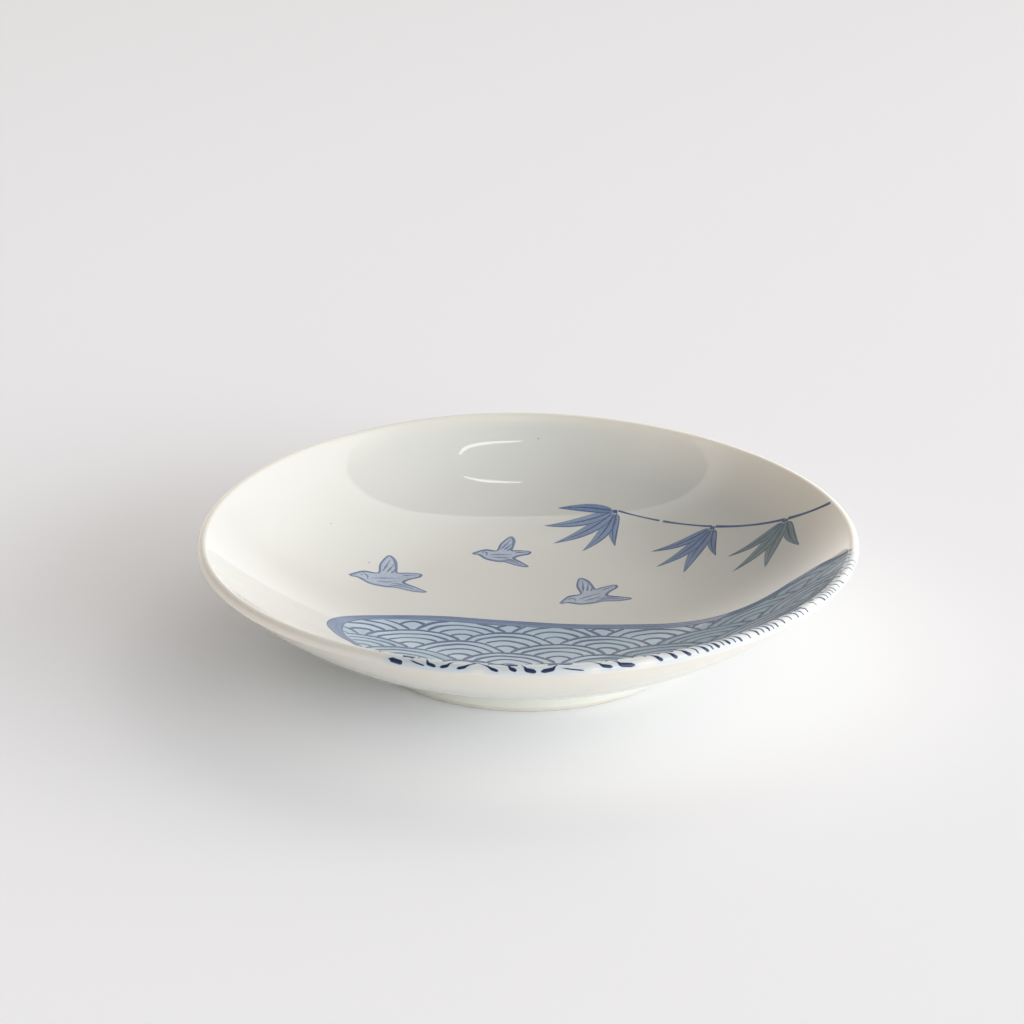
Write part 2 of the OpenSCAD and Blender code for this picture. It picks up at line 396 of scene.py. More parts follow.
def white_body(finish, tint):
    """Porcelain seen through clear glaze, with slow changes of tone."""
    patches = finish.spread(finish.noise(patch_scale, 3.0), 0.35, 0.7)
    white, cool = (tuple(c * k for c, k in zip(colour, tint)) for colour in (porcelain_white, porcelain_cool))
    return finish.mix(patches, white, cool)


# %% Rim
# Warm clay under thin glaze, painted lighter too: painted light for the light through the thin wall.
warm_rim_and_painted_light = (0.74, 0.70, 0.62)
rim_reach, long_rim_reach = 2.2 * mm, 10 * mm
# A paler colour painted on the right of the rim: painted light for the light through the wall.
painted_rim_glow = (0.97, 0.90, 0.80)
glow_reach, glow_power = 9 * mm, 1.2
glow_from, glow_to = 5 * mm, 38 * mm
# A painted highlight along the left lip, and the share of plain white that fades out the rim's painted light
# at the left.
lip_highlight_reach = 0.4 * mm
lip_highlight_from, lip_highlight_to = -20 * mm, -38 * mm
plain_from, plain_to, plain_share = 10 * mm, -30 * mm, 0.8


def paint_light_on_rim(finish, warm, white):
    """Painted light on the rim: a glow at the right, plain white at the left with a highlight along the lip.
    """
    x, _, r = place_parts(finish)
    glow = finish.math("POWER", finish.spread(r, lip_c[0] - glow_reach, lip_c[0]), glow_power)
    glow = finish.math("MULTIPLY", glow, finish.spread(x, glow_from, glow_to))
    line = finish.spread(r, lip_c[0] - lip_highlight_reach, lip_c[0] + lip_highlight_reach)
    line = finish.math("MULTIPLY", line, finish.spread(x, lip_highlight_from, lip_highlight_to))
    plain = finish.mix(finish.spread(x, plain_to, plain_from, plain_share, 0.0), warm, white)
    return finish.mix(finish.math("MAXIMUM", glow, line), plain, painted_rim_glow)


# %% Glaze finishes
bloom_share = 0.55
bloom_blue = (0.33, 0.46, 0.60)


def clear_glaze_finish(name, reach, tint, rings=0.0, painted_rim_light=False):
    """White, warmer and lighter towards the rim over that reach (the lightness is painted light), and blue
    where paint bled into the glaze.
    """
    finish = Finish(name)
    white = white_body(finish, tint)
    *_, r = place_parts(finish)
    body = finish.mix(finish.spread(r, lip_c[0] - reach, lip_c[0]), white, warm_rim_and_painted_light)
    if painted_rim_light:
        body = paint_light_on_rim(finish, body, white)
    bloom = finish.math("MULTIPLY", finish.attribute("bloom"), bloom_share)
    return glazed(finish, finish.mix(bloom, body, bloom_blue), rings)


inside_finish = clear_glaze_finish("inside glaze", rim_reach, (1, 1, 1), painted_rim_light=True)
# The outside is the same porcelain painted a little lighter: painted light on the outer wall. Its warm rim
# band, 10 mm long, is painted lighter too.
outside_finish = clear_glaze_finish("outside glaze", long_rim_reach, (1.07, 1.08, 1.02), rings=0.002 * mm)
well_finish = clear_glaze_finish("well glaze", rim_reach, (1, 0.98, 0.95), rings=0.05 * mm)

# %% Clay finishes
toast = (0.97, 0.92, 0.85)
toast_scale = 300
grit_scale = 1500
grit_depth = 0.04 * mm


def clay_finish(name, colour):
    """Bare fired clay: matt, sandy and a little toasted."""
    finish = Finish(name)
    toasted = finish.spread(finish.noise(toast_scale, 4.0), 0.4, 0.7)
    body = finish.mix(toasted, colour, tuple(c * k for c, k in zip(colour, toast)))
    grit = finish.bump(finish.noise(grit_scale, 4.0), grit_depth)
    finish.set(Base_Color=body, Roughness=0.75, Normal=grit)
    return finish.material


bare_finish = clay_finish("bare clay", (0.60, 0.58, 0.54))
body_finish = clay_finish("fired porcelain", (0.70, 0.68, 0.64))
finishes = (inside_finish, outside_finish, well_finish, bare_finish, body_finish)
print("finishes:", [finish.name for finish in finishes])


# %% Turn an outline into a piece
def finished_piece(name, mesh, material, sharp_angle=40):
    """Gives a mesh its name, its finish and smooth shading, and rides it on the dish."""
    shape = bmesh.new()
    shape.from_mesh(mesh)
    bmesh.ops.recalc_face_normals(shape, faces=shape.faces)
    shape.to_mesh(mesh)
    shape.free()
    mesh.name = name
    mesh.materials.clear()
    mesh.materials.append(material)
    mesh.shade_smooth()
    mesh.set_sharp_from_angle(angle=math.radians(sharp_angle))
    piece = bpy.data.objects.new(name, mesh)
    bpy.context.scene.collection.objects.link(piece)
    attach(piece, "root")
    return piece


def set_points(mesh, points):
    mesh.vertices.foreach_set("co", np.asarray(points, np.float32).ravel())
    mesh.update()


def get_points(mesh):
    points = np.zeros(len(mesh.vertices) * 3, np.float32)
    mesh.vertices.foreach_get("co", points)
    return points.reshape(-1, 3).astype(float)


def turned(name, outline, material, node):
    """A piece turned from its outline, which is closed or starts and ends on the axis."""
    points = np.stack([outline[:, 0], np.zeros(len(outline)), outline[:, 1]], -1)
    edges = [(i, i + 1) for i in range(len(points) - 1)]
    mesh = run_tree(wheel, points, edges, {})
    set_points(mesh, warped(get_points(mesh)))
    piece = finished_piece(name, mesh, material)
    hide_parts(node)
    print(name, len(mesh.vertices), "points,", len(mesh.polygons), "faces")
    return piece


# %% [markdown]
# The clay body reaches up to the lip, a glaze's thickness under the surface. The foot ring is turned
# from the same clay, and it ends where the wall's arc passes over it.

# %% Clay
base_h = well_h + glaze_t
foot_in_r = foot_r - foot_w


def under_r_at(z, depth):
    """How far from the axis the outside arc passes, at a height and a depth under the glaze."""
    return under_c[0] + math.sqrt((under_curve_r - depth) ** 2 - (z - under_c[1]) ** 2)


def outer_arc(depth, start, end, steps=48):
    return arc(under_c, under_curve_r - depth, start, end, steps)


clay_corner = np.array([under_r_at(base_h, glaze_t), base_h])
foot_top = np.array([foot_r, foot_h])
clay_outline = np.concatenate([
    inside_outline(glaze_t),
    arc(lip_c, lip_r - glaze_t, lip_c + upwards, lip_outside, 14)[1:],
    outer_arc(glaze_t, lip_outside, clay_corner)[1:],
    [[0, base_h]],
])
turned("clay_body", clay_outline, body_finish, "dish_body")

inner_edge = np.array([foot_in_r + foot_edge_r, foot_edge_r])
outer_edge = np.array([foot_r - foot_edge_r, foot_edge_r])
ring_outline = np.concatenate([
    [[foot_in_r, base_h]],
    arc(inner_edge, foot_edge_r, inner_edge - outwards, inner_edge - upwards, 6),
    arc(outer_edge, foot_edge_r, outer_edge - upwards, outer_edge + outwards, 6),
    outer_arc(glaze_t, foot_top, clay_corner, 6),
    [[foot_in_r, base_h]],
])
turned("foot_ring_clay", ring_outline, bare_finish, "foot_ring")

# %% [markdown]
# The glaze is a shell a quarter of a millimetre thick. It is cut in two where the lip meets the outside
# wall, because the photo shows a fine line there. Outside, it pools in the corner over the foot and ends
# in a soft bead above the bare clay.

# %% Glaze
pool_x = foot_r + glaze_t + foot_fillet_r
pool_fall = math.sqrt((under_curve_r + foot_fillet_r) ** 2 - (pool_x - under_c[0]) ** 2)
pool_c = np.array([pool_x, under_c[1] - pool_fall])
pool_top = towards(pool_c, under_c, foot_fillet_r)
bead_r = glaze_t / 2

inside_shell = np.concatenate([
    inside_line,
    arc(lip_c, lip_r, lip_c + upwards, lip_outside, 18)[1:],
    arc(lip_c, lip_r - glaze_t, lip_outside, lip_c + upwards, 18),
    inside_outline(glaze_t)[::-1][1:],
])
inside_glaze = turned("inside_glaze_skin", inside_shell, inside_finish, "inside_glaze")

bead_c = np.array([foot_r + bead_r, bare_h + bead_r])
outside_shell = np.concatenate([
    outer_arc(0, lip_outside, pool_top, 60),
    arc(pool_c, foot_fillet_r, pool_top, pool_c - outwards, 10)[1:],
    arc(bead_c, bead_r, bead_c + outwards, bead_c - upwards, 4),
    arc(bead_c, bead_r, bead_c - upwards, bead_c - outwards, 4)[1:],
    outer_arc(glaze_t, foot_top, lip_outside, 60),
    [lip_outside],
])
turned("outside_glaze_skin", outside_shell, outside_finish, "outside_glaze")

well_corner_r = 0.9 * mm
well_corner = np.array([foot_in_r - glaze_t - well_corner_r, well_h - well_corner_r])
well_shell = np.concatenate([
    [[0, well_h]],
    arc(well_corner, well_corner_r, well_corner + upwards, well_corner + outwards, 8),
    [[foot_in_r - glaze_t, bare_h + bead_r], [foot_in_r - bead_r, bare_h], [foot_in_r, bare_h + bead_r]],
    [[foot_in_r, base_h], [0, base_h]],
])
turned("well_glaze_skin", well_shell, well_finish, "foot_well_glaze")

# %% [markdown]
# ## Painting on a curved floor
# The painter's brush makes flat things: lines and washes. Here too each mark is first made flat, as seen
# from above, with x and y on the plan and z as its height over the glaze. `laid` then drops it onto
# the bowl: it looks up the bowl's height at that distance from the axis, and counts z along the slope's
# own upright. Marks near the rim are drawn on a strip instead, where x runs round the rim and y runs over
# the lip, and `laid_over_lip` bends the strip over it.


# %% From the flat drawing to the bowl
steepest_share = 0.999


def bowl_height(r):
    """Height of the glaze inside the dish at a distance from the axis, and its slope."""
    on_floor, on_wall = r < sweep_start[0], r < lip_inside[0]
    middle_r = np.where(on_floor, floor_c[0], np.where(on_wall, wall_c[0], lip_c[0]))
    middle_z = np.where(on_floor, floor_c[1], np.where(on_wall, wall_c[1], lip_c[1]))
    radius = np.where(on_floor, floor_curve_r, np.where(on_wall, wall_curve_r, lip_r))
    side = np.where(on_floor | on_wall, -1, 1)
    across = np.clip(r - middle_r, -steepest_share * radius, steepest_share * radius)
    rise = np.sqrt(radius**2 - across**2)
    return middle_z + side * rise, -side * across / rise


def laid(points):
    """Points drawn flat, dropped onto the inside of the dish."""
    x, y, h = np.asarray(points, float).T
    r = np.hypot(x, y)
    z, slope = bowl_height(r)
    tilt = 1 / np.sqrt(1 + slope**2)
    out = np.where(r > 0, h * slope * tilt / np.maximum(r, mm / 1000), 0)
    return warped(np.stack([x - x * out, y - y * out, z + h * tilt], -1))


wall_steps, lip_steps, outer_steps = 400, 40, 60
over_line = np.concatenate([
    arc(wall_c, wall_curve_r, sweep_start, lip_inside, wall_steps),
    arc(lip_c, lip_r, lip_inside, lip_c + upwards, lip_steps)[1:],
    arc(lip_c, lip_r, lip_c + upwards, lip_outside, outer_steps)[1:],
])
over_length = np.concatenate([[0], np.cumsum(np.hypot(*np.diff(over_line, axis=0).T))])
over_length -= over_length[wall_steps + lip_steps]
over_way = np.gradient(over_line, axis=0)
over_way /= np.hypot(*over_way.T)[:, None]


def laid_over_lip(points):
    """Points of the strip: x round the rim, y outwards from the top of the lip, z over the glaze."""
    x, s, h = np.asarray(points, float).T
    azimuth = x / dish_r
    way_r, way_z = (np.interp(s, over_length, over_way[:, k]) for k in (0, 1))
    r = np.interp(s, over_length, over_line[:, 0]) - way_z * h
    z = np.interp(s, over_length, over_line[:, 1]) + way_r * h
    return warped(np.stack([r * np.cos(azimuth), r * np.sin(azimuth), z], -1))


print("from the lip's top it is", round(over_length[-1] / mm, 2), "mm to the line under the lip")

# %% [markdown]
# ## A brush made of nodes
# A brush line follows a path and swells and thins on its way. The tree takes paths as chains of edges,
# makes them curves, takes each point's radius from an attribute and sweeps an eight-sided ring along.
# The ring is then pressed flat: its upper points go to the height of the paint, its lower ones into
# the glaze, and its two sides stay on the surface. That leaves a thin closed sliver of paint.


# %% The brush
brush_sides = 8
brush_side_share = 0.3
brush_sharp_angle = 75
paint_depth = 0.05 * mm


def brush_tree():
    t = Tree("brush", [("Geometry", "Geometry", None), ("Sides", "Int", brush_sides),
                       ("Material", "Material", None)])
    path = t.add("GeometryNodeMeshToCurve", {"Mesh": t.inputs["Geometry"]})["Curve"]
    wide = t.add("GeometryNodeInputNamedAttribute", {"Name": "wide"}, data_type="FLOAT")["Attribute"]
    level = t.add("GeometryNodeSetCurveNormal", {"Curve": path}, mode="Z_UP")["Curve"]
    circle = {"Resolution": t.inputs["Sides"], "Radius": 1.0}
    ring = t.add("GeometryNodeCurvePrimitiveCircle", circle)["Curve"]
    links = {"Curve": level, "Profile Curve": ring, "Scale": wide, "Fill Caps": True}
    swept = t.add("GeometryNodeCurveToMesh", links)["Mesh"]
    return t.finish(swept, t.inputs["Material"])


brush = brush_tree()
print("the brush has", len(brush.nodes), "nodes and", brush_sides, "sides")


# %% From a swept line to a stroke
def mesh_floats(mesh, name):
    values = np.zeros(len(mesh.vertices), np.float32)
    mesh.attributes[name].data.foreach_get("value", values)
    return values.astype(float)


def set_floats(mesh, name, values):
    attribute = mesh.attributes.get(name) or mesh.attributes.new(name, "FLOAT", "POINT")
    attribute.data.foreach_set("value", np.asarray(values, np.float32))


def press_flat(mesh, height, lay):
    """Presses swept brush lines flat at a height and lays them down. `inner` is 1 in the middle of a line."""
    points = get_points(mesh)
    wide = mesh_floats(mesh, "wide")
    upright = points[:, 2] / np.maximum(wide, mm / 1000)
    set_floats(mesh, "inner", np.abs(upright))
    lower = np.where(upright < -brush_side_share, -paint_depth, 0)
    points[:, 2] = np.where(upright > brush_side_share, height, lower)
    set_points(mesh, lay(points))


def brushed(name, strokes, height, material, lay=laid, nodes=()):
    """One piece of many strokes, each with its points (x, y), half widths and how much paint it holds."""
    points, edges, wide, load = [], [], [], []
    for path, widths, paint in strokes:
        first = len(points)
        points += [(x, y, 0) for x, y in path]
        edges += [(first + i, first + i + 1) for i in range(len(path) - 1)]
        wide += list(np.broadcast_to(widths, len(path)))
        load += list(np.broadcast_to(paint, len(path)))
    mesh = run_tree(brush, points, edges, {"Material": material}, [("wide", wide), ("load", load)])
    press_flat(mesh, height, lay)
    piece = finished_piece(name, mesh, material, brush_sharp_angle)
    if nodes:
        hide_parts(*nodes)
    print(name, len(strokes), "strokes,", len(mesh.polygons), "faces")


# %% Smooth paths through a few points
def smooth_path(points, steps):
    """A curve through the given points, with that many steps between two of them."""
    p = np.asarray(points, float)
    p = np.concatenate([[2 * p[0] - p[1]], p, [2 * p[-1] - p[-2]]])
    out = []
    for a, b, c, d in zip(p, p[1:], p[2:], p[3:]):
        s = np.linspace(0, 1, steps, endpoint=False)[:, None]
        bend, twist = 2 * a - 5 * b + 4 * c - d, 3 * b - a - 3 * c + d
        out.append(b + (c - a) * s / 2 + bend * s**2 / 2 + twist * s**3 / 2)
    return np.concatenate([*out, p[-2:-1]])


def swell(count, start, middle, end, peak=0.5):
    """Half widths along a stroke: from start over middle to end, with the widest place at peak."""
    s = np.linspace(0, 1, count)
    up = start + (middle - start) * np.sin(np.clip(s / peak, 0, 1) * math.pi / 2) ** 2
    down = end + (middle - end) * np.sin(np.clip((1 - s) / (1 - peak), 0, 1) * math.pi / 2) ** 2
    return np.where(s < peak, up, down)


# %% [markdown]
# A wash is an area and not a line. Its outline is filled with small triangles by Blender's own Delaunay
# routine, so that it can bend with the bowl, and it gets an underside and walls that close it. The lip is
# much rounder than the bowl, and wide triangles would sink into its glaze. So where a wash runs over the
# front lip its points stand in close rows, and a line there gets more points too.

# %% Points inside an outline
lip_rows_from = lip_inside[0] - 0.3 * mm
lip_row_step = 0.12 * mm
lip_row_azimuths = np.radians(np.arange(235, 355, 0.8))
clear_share = 0.45


def inside_polygon(points, polygon):
    """Whether each point lies inside the polygon, by counting the sides to the right of it."""
    x, y = points[:, 0, None], points[:, 1, None]
    ax, ay = polygon.T
    bx, by = np.roll(polygon, -1, axis=0).T
    level = (ay > y) != (by > y)
    slant = np.where(by == ay, 1, by - ay)
    return (level & (x < ax + (bx - ax) * (y - ay) / slant)).sum(1) % 2 == 1


def edge_distance(points, polygon):
    """How far each point is from the polygon's outline."""
    a, b = polygon, np.roll(polygon, -1, axis=0)
    way = b - a
    length = np.maximum((way**2).sum(1), 1e-18)
    best = np.full(len(points), np.inf)
    for start, step, size in zip(a, way, length):
        s = np.clip(((points - start) @ step) / size, 0, 1)
        best = np.minimum(best, np.hypot(*(points - start - s[:, None] * step).T))
    return best


def clear_of(outline, points, spacing):
    """The points inside an outline that keep nearly half a spacing away from it."""
    points = points[inside_polygon(points, outline)]
    return points[edge_distance(points, outline) > spacing * clear_share]


def points_inside(outline, spacing, end_r):
    """A grid of points inside an outline. An area that ends at end_r on the front lip gets rows there."""
    axes = (np.arange(low, high, spacing) for low, high in zip(outline.min(0), outline.max(0)))
    grid = np.stack(np.meshgrid(*axes), -1).reshape(-1, 2)
    grid[::2, 1] += spacing / 2
    grid = clear_of(outline, grid, spacing)
    if end_r is None:
        return grid
    radii = np.arange(lip_rows_from, end_r, lip_row_step)[:, None, None]
    rows = radii * np.stack([np.cos(lip_row_azimuths), np.sin(lip_row_azimuths)], -1)
    rows = clear_of(outline, rows.reshape(-1, 2), lip_row_step)
    return np.concatenate([grid[np.hypot(*grid.T) < lip_rows_from - lip_row_step], rows])


def finer(path, steps):
    """The same path with each of its steps cut into that many."""
    at = np.linspace(0, len(path) - 1, (len(path) - 1) * steps + 1)
    return np.stack([np.interp(at, np.arange(len(path)), path[:, k]) for k in (0, 1)], -1)


# %% Washes
same_place = 0.0001 * mm
wash_sharp_angle = 50


def filled(outline, spacing, end_r):
    """Triangles that fill an outline: their points, and the three corners of each."""
    start = np.concatenate([outline, points_inside(outline, spacing, end_r)])
    corners = range(len(outline))
    sides = [(i, (i + 1) % len(outline)) for i in corners]
    made = delaunay_2d_cdt([Vector(p) for p in start], sides, [list(corners)], 1, same_place)
    return np.array([tuple(p) for p in made[0]]), [tuple(f) for f in made[2]]


def open_sides(triangles):
    """The sides of triangles that no neighbour shares."""
    found = {}
    for f in triangles:
        for a, b in zip(f, f[1:] + f[:1]):
            if (b, a) in found:
                del found[(b, a)]
            else:
                found[(a, b)] = True
    return found


def washed(name, outlines, height, spacing, material, nodes=(), fade=None, end_r=None):
    """One piece of flat areas of paint. `edge` holds each point's distance from the outline, in mm."""
    points, faces, edge = [], [], []
    for outline in outlines:
        flat, triangles = filled(outline, spacing, end_r)
        top, under = len(points), len(points) + len(flat)
        points += [(x, y, height) for x, y in flat] + [(x, y, -paint_depth) for x, y in flat]
        edge += list(edge_distance(flat, outline) / mm) * 2
        faces += [tuple(top + i for i in f) for f in triangles]
        faces += [tuple(under + i for i in f[::-1]) for f in triangles]
        faces += [(top + b, top + a, under + a, under + b) for a, b in open_sides(triangles)]
    mesh = bpy.data.meshes.new(name)
    mesh.from_pydata(points, [], faces)
    set_floats(mesh, "edge", edge)
    if fade is not None:
        set_floats(mesh, "fade", fade(np.array(points)))
    set_points(mesh, laid(points))
    piece = finished_piece(name, mesh, material, wash_sharp_angle)
    if nodes:
        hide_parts(*nodes)
    print(name, len(outlines), "areas,", len(mesh.polygons), "faces")


# %% [markdown]
# ## Blue
# Cobalt looks different by its load. A thin wash is a pale grey blue, a line is darker, and a drop that
# ran together is nearly black. Under the glaze the edges are a little soft, so each mark blends into
# what lies round it, and the grains of pigment leave a fine mottle.

# %% Paint finishes
wash_blue = (0.385, 0.54, 0.68)
line_blue = (0.0, 0.045, 0.165)
band_blue = (0.115, 0.20, 0.385)
navy = (0.006, 0.016, 0.055)
teal_grey = (0.23, 0.31, 0.34)
teal_dark = (0.04, 0.075, 0.12)
leaf_blue = (0.20, 0.29, 0.48)
leaf_dark = (0.02, 0.045, 0.135)
teal_from, teal_to = 27 * mm, 33 * mm
line_grain_scale, line_pool_scale = 2500, 260
wash_grain_scale, wash_pool_scale = 2200, 170


def paint_colour(finish, colours):
    """A colour, or a pair of them: the first on the left of the dish and the second on its right."""
    if len(colours) == 3:
        return colours
    x = finish.add("ShaderNodeSeparateXYZ", {"Vector": finish.place})["X"]
    return finish.mix(finish.spread(x, teal_from, teal_to), *colours)


def paint_finish(name, colour, round_it, soft=0.4, mottle=0.5, roughness=glaze_roughness):
    """A brushed line: its colour in the middle, what lies round it at the edges."""
    finish = Finish(name)
    grains = finish.spread(finish.noise(line_grain_scale, 3.0), 0.3, 0.7)
    pools = finish.spread(finish.noise(line_pool_scale, 2.0), 0.35, 0.65)
    grainy = finish.math("ADD", 1 - mottle, finish.math("MULTIPLY", grains, mottle / 2))
    strength = finish.math("MULTIPLY", finish.attribute("load"), grainy)
    strength = finish.math("ADD", strength, finish.math("MULTIPLY", pools, mottle / 2))
    core = finish.spread(finish.attribute("inner"), 0.0, soft)
    share = finish.add("ShaderNodeClamp", {"Value": finish.math("MULTIPLY", core, strength)})["Result"]
    body = finish.mix(share, paint_colour(finish, round_it), paint_colour(finish, colour))
    return glazed(finish, body, roughness=roughness)


wave_finish = paint_finish("wave line", line_blue, wash_blue, soft=0.25, mottle=0.2)
shore_finish = paint_finish("shore line", line_blue, band_blue)
drawn_finish = paint_finish("drawn line", (0.035, 0.065, 0.17), (0.22, 0.30, 0.48), mottle=0.3)
lip_finish = paint_finish("lip stroke", navy, (0.24, 0.35, 0.56), soft=0.5, mottle=0.1, roughness=0.3)
vein_finish = paint_finish("leaf vein", (leaf_dark, teal_dark), (leaf_blue, teal_grey), mottle=0.3)


def wash_finish(name, colour, around, soft_mm, mottle):
    """A wash: even, with pools where it dried last, and soft at its edges."""
    finish = Finish(name)
    pools = finish.spread(finish.noise(wash_pool_scale, 3.0), 0.3, 0.7)
    grains = finish.spread(finish.noise(wash_grain_scale, 2.0), 0.3, 0.7)
    thin_paint = paint_colour(finish, colour)
    deep = finish.mix(mottle, thin_paint, (0, 0, 0))
    body = finish.mix(finish.math("MULTIPLY", finish.math("ADD", pools, grains), 0.5), thin_paint, deep)
    edge = finish.spread(finish.attribute("edge"), 0.0, soft_mm)
    return finish, finish.mix(edge, around, body)


def field_finish():
    """The wash under the waves, which fades into the white of the lip."""
    finish, body = wash_finish("field wash", wash_blue, wash_blue, 0.3, 0.16)
    return glazed(finish, finish.mix(finish.attribute("fade"), porcelain_white, body))


wash_field_finish = field_finish()
band_finish = glazed(*wash_finish("shore band", band_blue, tuple(c * 0.8 for c in band_blue), 0.35, 0.35))
leaf_finish = glazed(*wash_finish("leaf wash", (leaf_blue, teal_grey), (0.14, 0.20, 0.31), 0.2, 0.35))
feather_finish = glazed(*wash_finish("feather wash", (0.40, 0.485, 0.62), (0.24, 0.32, 0.50), 0.45, 0.35))
speck_finish = glazed(*wash_finish("iron speck", (0.13, 0.10, 0.08), (0.5, 0.48, 0.44), 0.1, 0.2))
print("the lines have", len(wave_finish.node_tree.nodes), "nodes and the washes",
      len(band_finish.node_tree.nodes))

# %% [markdown]
# ## The waves
# The front third of the dish holds a field of waves, drawn as rows of overlapping fans. The shore is one
# long curve through a few points. These are shares of the dish's radius, with the width of the
# thick blue band there as the third number. The band lies on the water's side of the curve.

# %% Shore
shore_shares = (
    (-0.40, -1.06, 0.042), (-0.41, -0.84, 0.030), (-0.44, -0.60, 0.020), (-0.50, -0.43, 0.018),
    (-0.56, -0.355, 0.030), (-0.597, -0.275, 0.046), (-0.58, -0.196, 0.040), (-0.513, -0.132, 0.028),
    (-0.40, -0.087, 0.028), (-0.25, -0.070, 0.034), (-0.085, -0.085, 0.038), (0.085, -0.114, 0.032),
    (0.25, -0.139, 0.030), (0.42, -0.166, 0.036), (0.57, -0.188, 0.032), (0.693, -0.174, 0.030),
    (0.797, -0.138, 0.026), (0.88, -0.137, 0.022), (0.945, -0.189, 0.020), (1.06, -0.26, 0.020),
)
shore = smooth_path(shore_shares, 12) * dish_r
shore_edge = shore[:, :2]
shore_way = np.gradient(shore_edge, axis=0)
shore_way /= np.hypot(*shore_way.T)[:, None]
to_water = np.stack([shore_way[:, 1], -shore_way[:, 0]], -1)
shore_inner = shore_edge + to_water * shore[:, 2:]
front_corner = np.array([[shore_edge[-1, 0], shore_edge[0, 1]]])
water = np.concatenate([shore_inner, front_corner])
print("the shore is", round(np.hypot(*np.diff(shore_edge, axis=0).T).sum() / mm), "mm long")

# %% [markdown]
# One fan is four arcs round one middle. The tree sets fans in rows, each row shifted by half a fan, and
# then deletes what the nearer fans cover: the two in the next row and the one in the row after that.
# What is left is a chain of points and edges for every arc that shows.

# %% A field of fans
fan_w = 13.7 * mm
fan_r = 7.1 * mm
fan_flatness = 0.875
row_step = 3.75 * mm / fan_flatness
fan_rows = 14
fan_columns = 9
arc_points = 44
arc_shares = (1, 0.785, 0.54, 0.25)


def fan_tree():
    t = Tree("fans", [("Geometry", "Geometry", None), ("Columns", "Int", fan_columns),
                      ("Rows", "Int", fan_rows), ("Fan width", "Float", fan_w),
                      ("Row step", "Float", row_step), ("Fan radius", "Float", fan_r),
                      ("Arc points", "Int", arc_points), ("Material", "Material", None)])
    rows, width, step, radius = (t.inputs[name] for name in ("Rows", "Fan width", "Row step", "Fan radius"))
    grid = t.add("GeometryNodeMeshGrid", {"Vertices X": t.inputs["Columns"], "Vertices Y": rows})["Mesh"]
    number = t.add("GeometryNodeInputIndex", {})["Index"]
    row = t.math("MODULO", number, rows)
    column = t.math("FLOOR", t.math("DIVIDE", number, rows))
    shift = t.math("MULTIPLY", t.math("MODULO", row, 2), 0.5)
    across = t.math("MULTIPLY", t.math("ADD", column, shift), width)
    down = t.math("MULTIPLY", t.math("MULTIPLY", row, step), -1)
    middle = t.add("ShaderNodeCombineXYZ", {"X": across, "Y": down})["Vector"]
    set_out = t.add("GeometryNodeSetPosition", {"Geometry": grid, "Position": middle})["Geometry"]
    place = t.add("GeometryNodeInputPosition", {})["Position"]
    marked = t.add("GeometryNodeStoreNamedAttribute", {"Geometry": set_out, "Name": "middle", "Value": place},
                   data_type="FLOAT_VECTOR", domain="POINT")["Geometry"]
    spots = t.add("GeometryNodeMeshToPoints", {"Mesh": marked})["Points"]
    fan = t.tree.nodes.new("GeometryNodeJoinGeometry")
    for share in arc_shares:
        links = {"Resolution": t.inputs["Arc points"], "Radius": t.math("MULTIPLY", radius, share),
                 "Start Angle": 0.0, "Sweep Angle": math.pi}
        one = t.add("GeometryNodeCurveArc", links, mode="RADIUS")["Curve"]
        t.tree.links.new(one, fan.inputs["Geometry"])
    chains = t.add("GeometryNodeCurveToMesh", {"Curve": fan.outputs["Geometry"]})["Mesh"]
    placed = t.add("GeometryNodeInstanceOnPoints", {"Points": spots, "Instance": chains})["Instances"]
    real = t.add("GeometryNodeRealizeInstances", {"Geometry": placed})["Geometry"]
    own = t.add("GeometryNodeInputNamedAttribute", {"Name": "middle"}, data_type="FLOAT_VECTOR")["Attribute"]
    away = t.add("ShaderNodeVectorMath", {0: place, 1: own}, operation="SUBTRACT")["Vector"]
    hidden = None
    for side, rows_down in ((1, 1), (-1, 1), (0, 2)):
        offset = {"X": t.math("MULTIPLY", width, side * 0.5), "Y": t.math("MULTIPLY", step, -rows_down)}
        nearer = t.add("ShaderNodeCombineXYZ", offset)["Vector"]
        gap = t.add("ShaderNodeVectorMath", {0: away, 1: nearer}, operation="DISTANCE")["Value"]
        covered = t.math("LESS_THAN", gap, radius)
        hidden = covered if hidden is None else t.math("MAXIMUM", hidden, covered)
    open_part = t.add("GeometryNodeDeleteGeometry", {"Geometry": real, "Selection": hidden}, domain="POINT")
    return t.finish(open_part["Geometry"], t.inputs["Material"])


fans = run_tree(fan_tree(), [(0, 0, 0)], [], {"Material": wave_finish})
print("fans:", len(fans.vertices), "points in", len(fans.edges), "edges")

# %% [markdown]
# A painter doesn't draw on a ruler. The rows sag and rise with the shore above them, so the fans are
# bent along a curve, and a slow wobble takes the compass out of the arcs.

# %% Bend the fans along the shore
first_column_x = -64.4 * mm
row_tops = ((-40, -14), (-28, -8), (-23, -6.2), (-17, -5.1), (-10, -4.9), (-4, -4.9), (4, -5.8), (10, -6.6),
            (17, -8.3), (26, -9.3), (33, -9.2), (39, -8.4), (43, -10), (48, -14), (60, -24))
row_curve = smooth_path(row_tops, 10) * mm
rows_above = 2


def wobble(x, y, size, length, turn=0.0):
    """A slow drift, the same every time: two waves that cross."""
    a = np.sin((x * 0.9 + y * 0.45) * 2 * math.pi / length + 1.3 + turn)
    b = np.sin((x * -0.4 + y * 0.85) * 2 * math.pi / (length * 0.73) + 4.1 + turn * 2)
    return size * (a + b) / 2


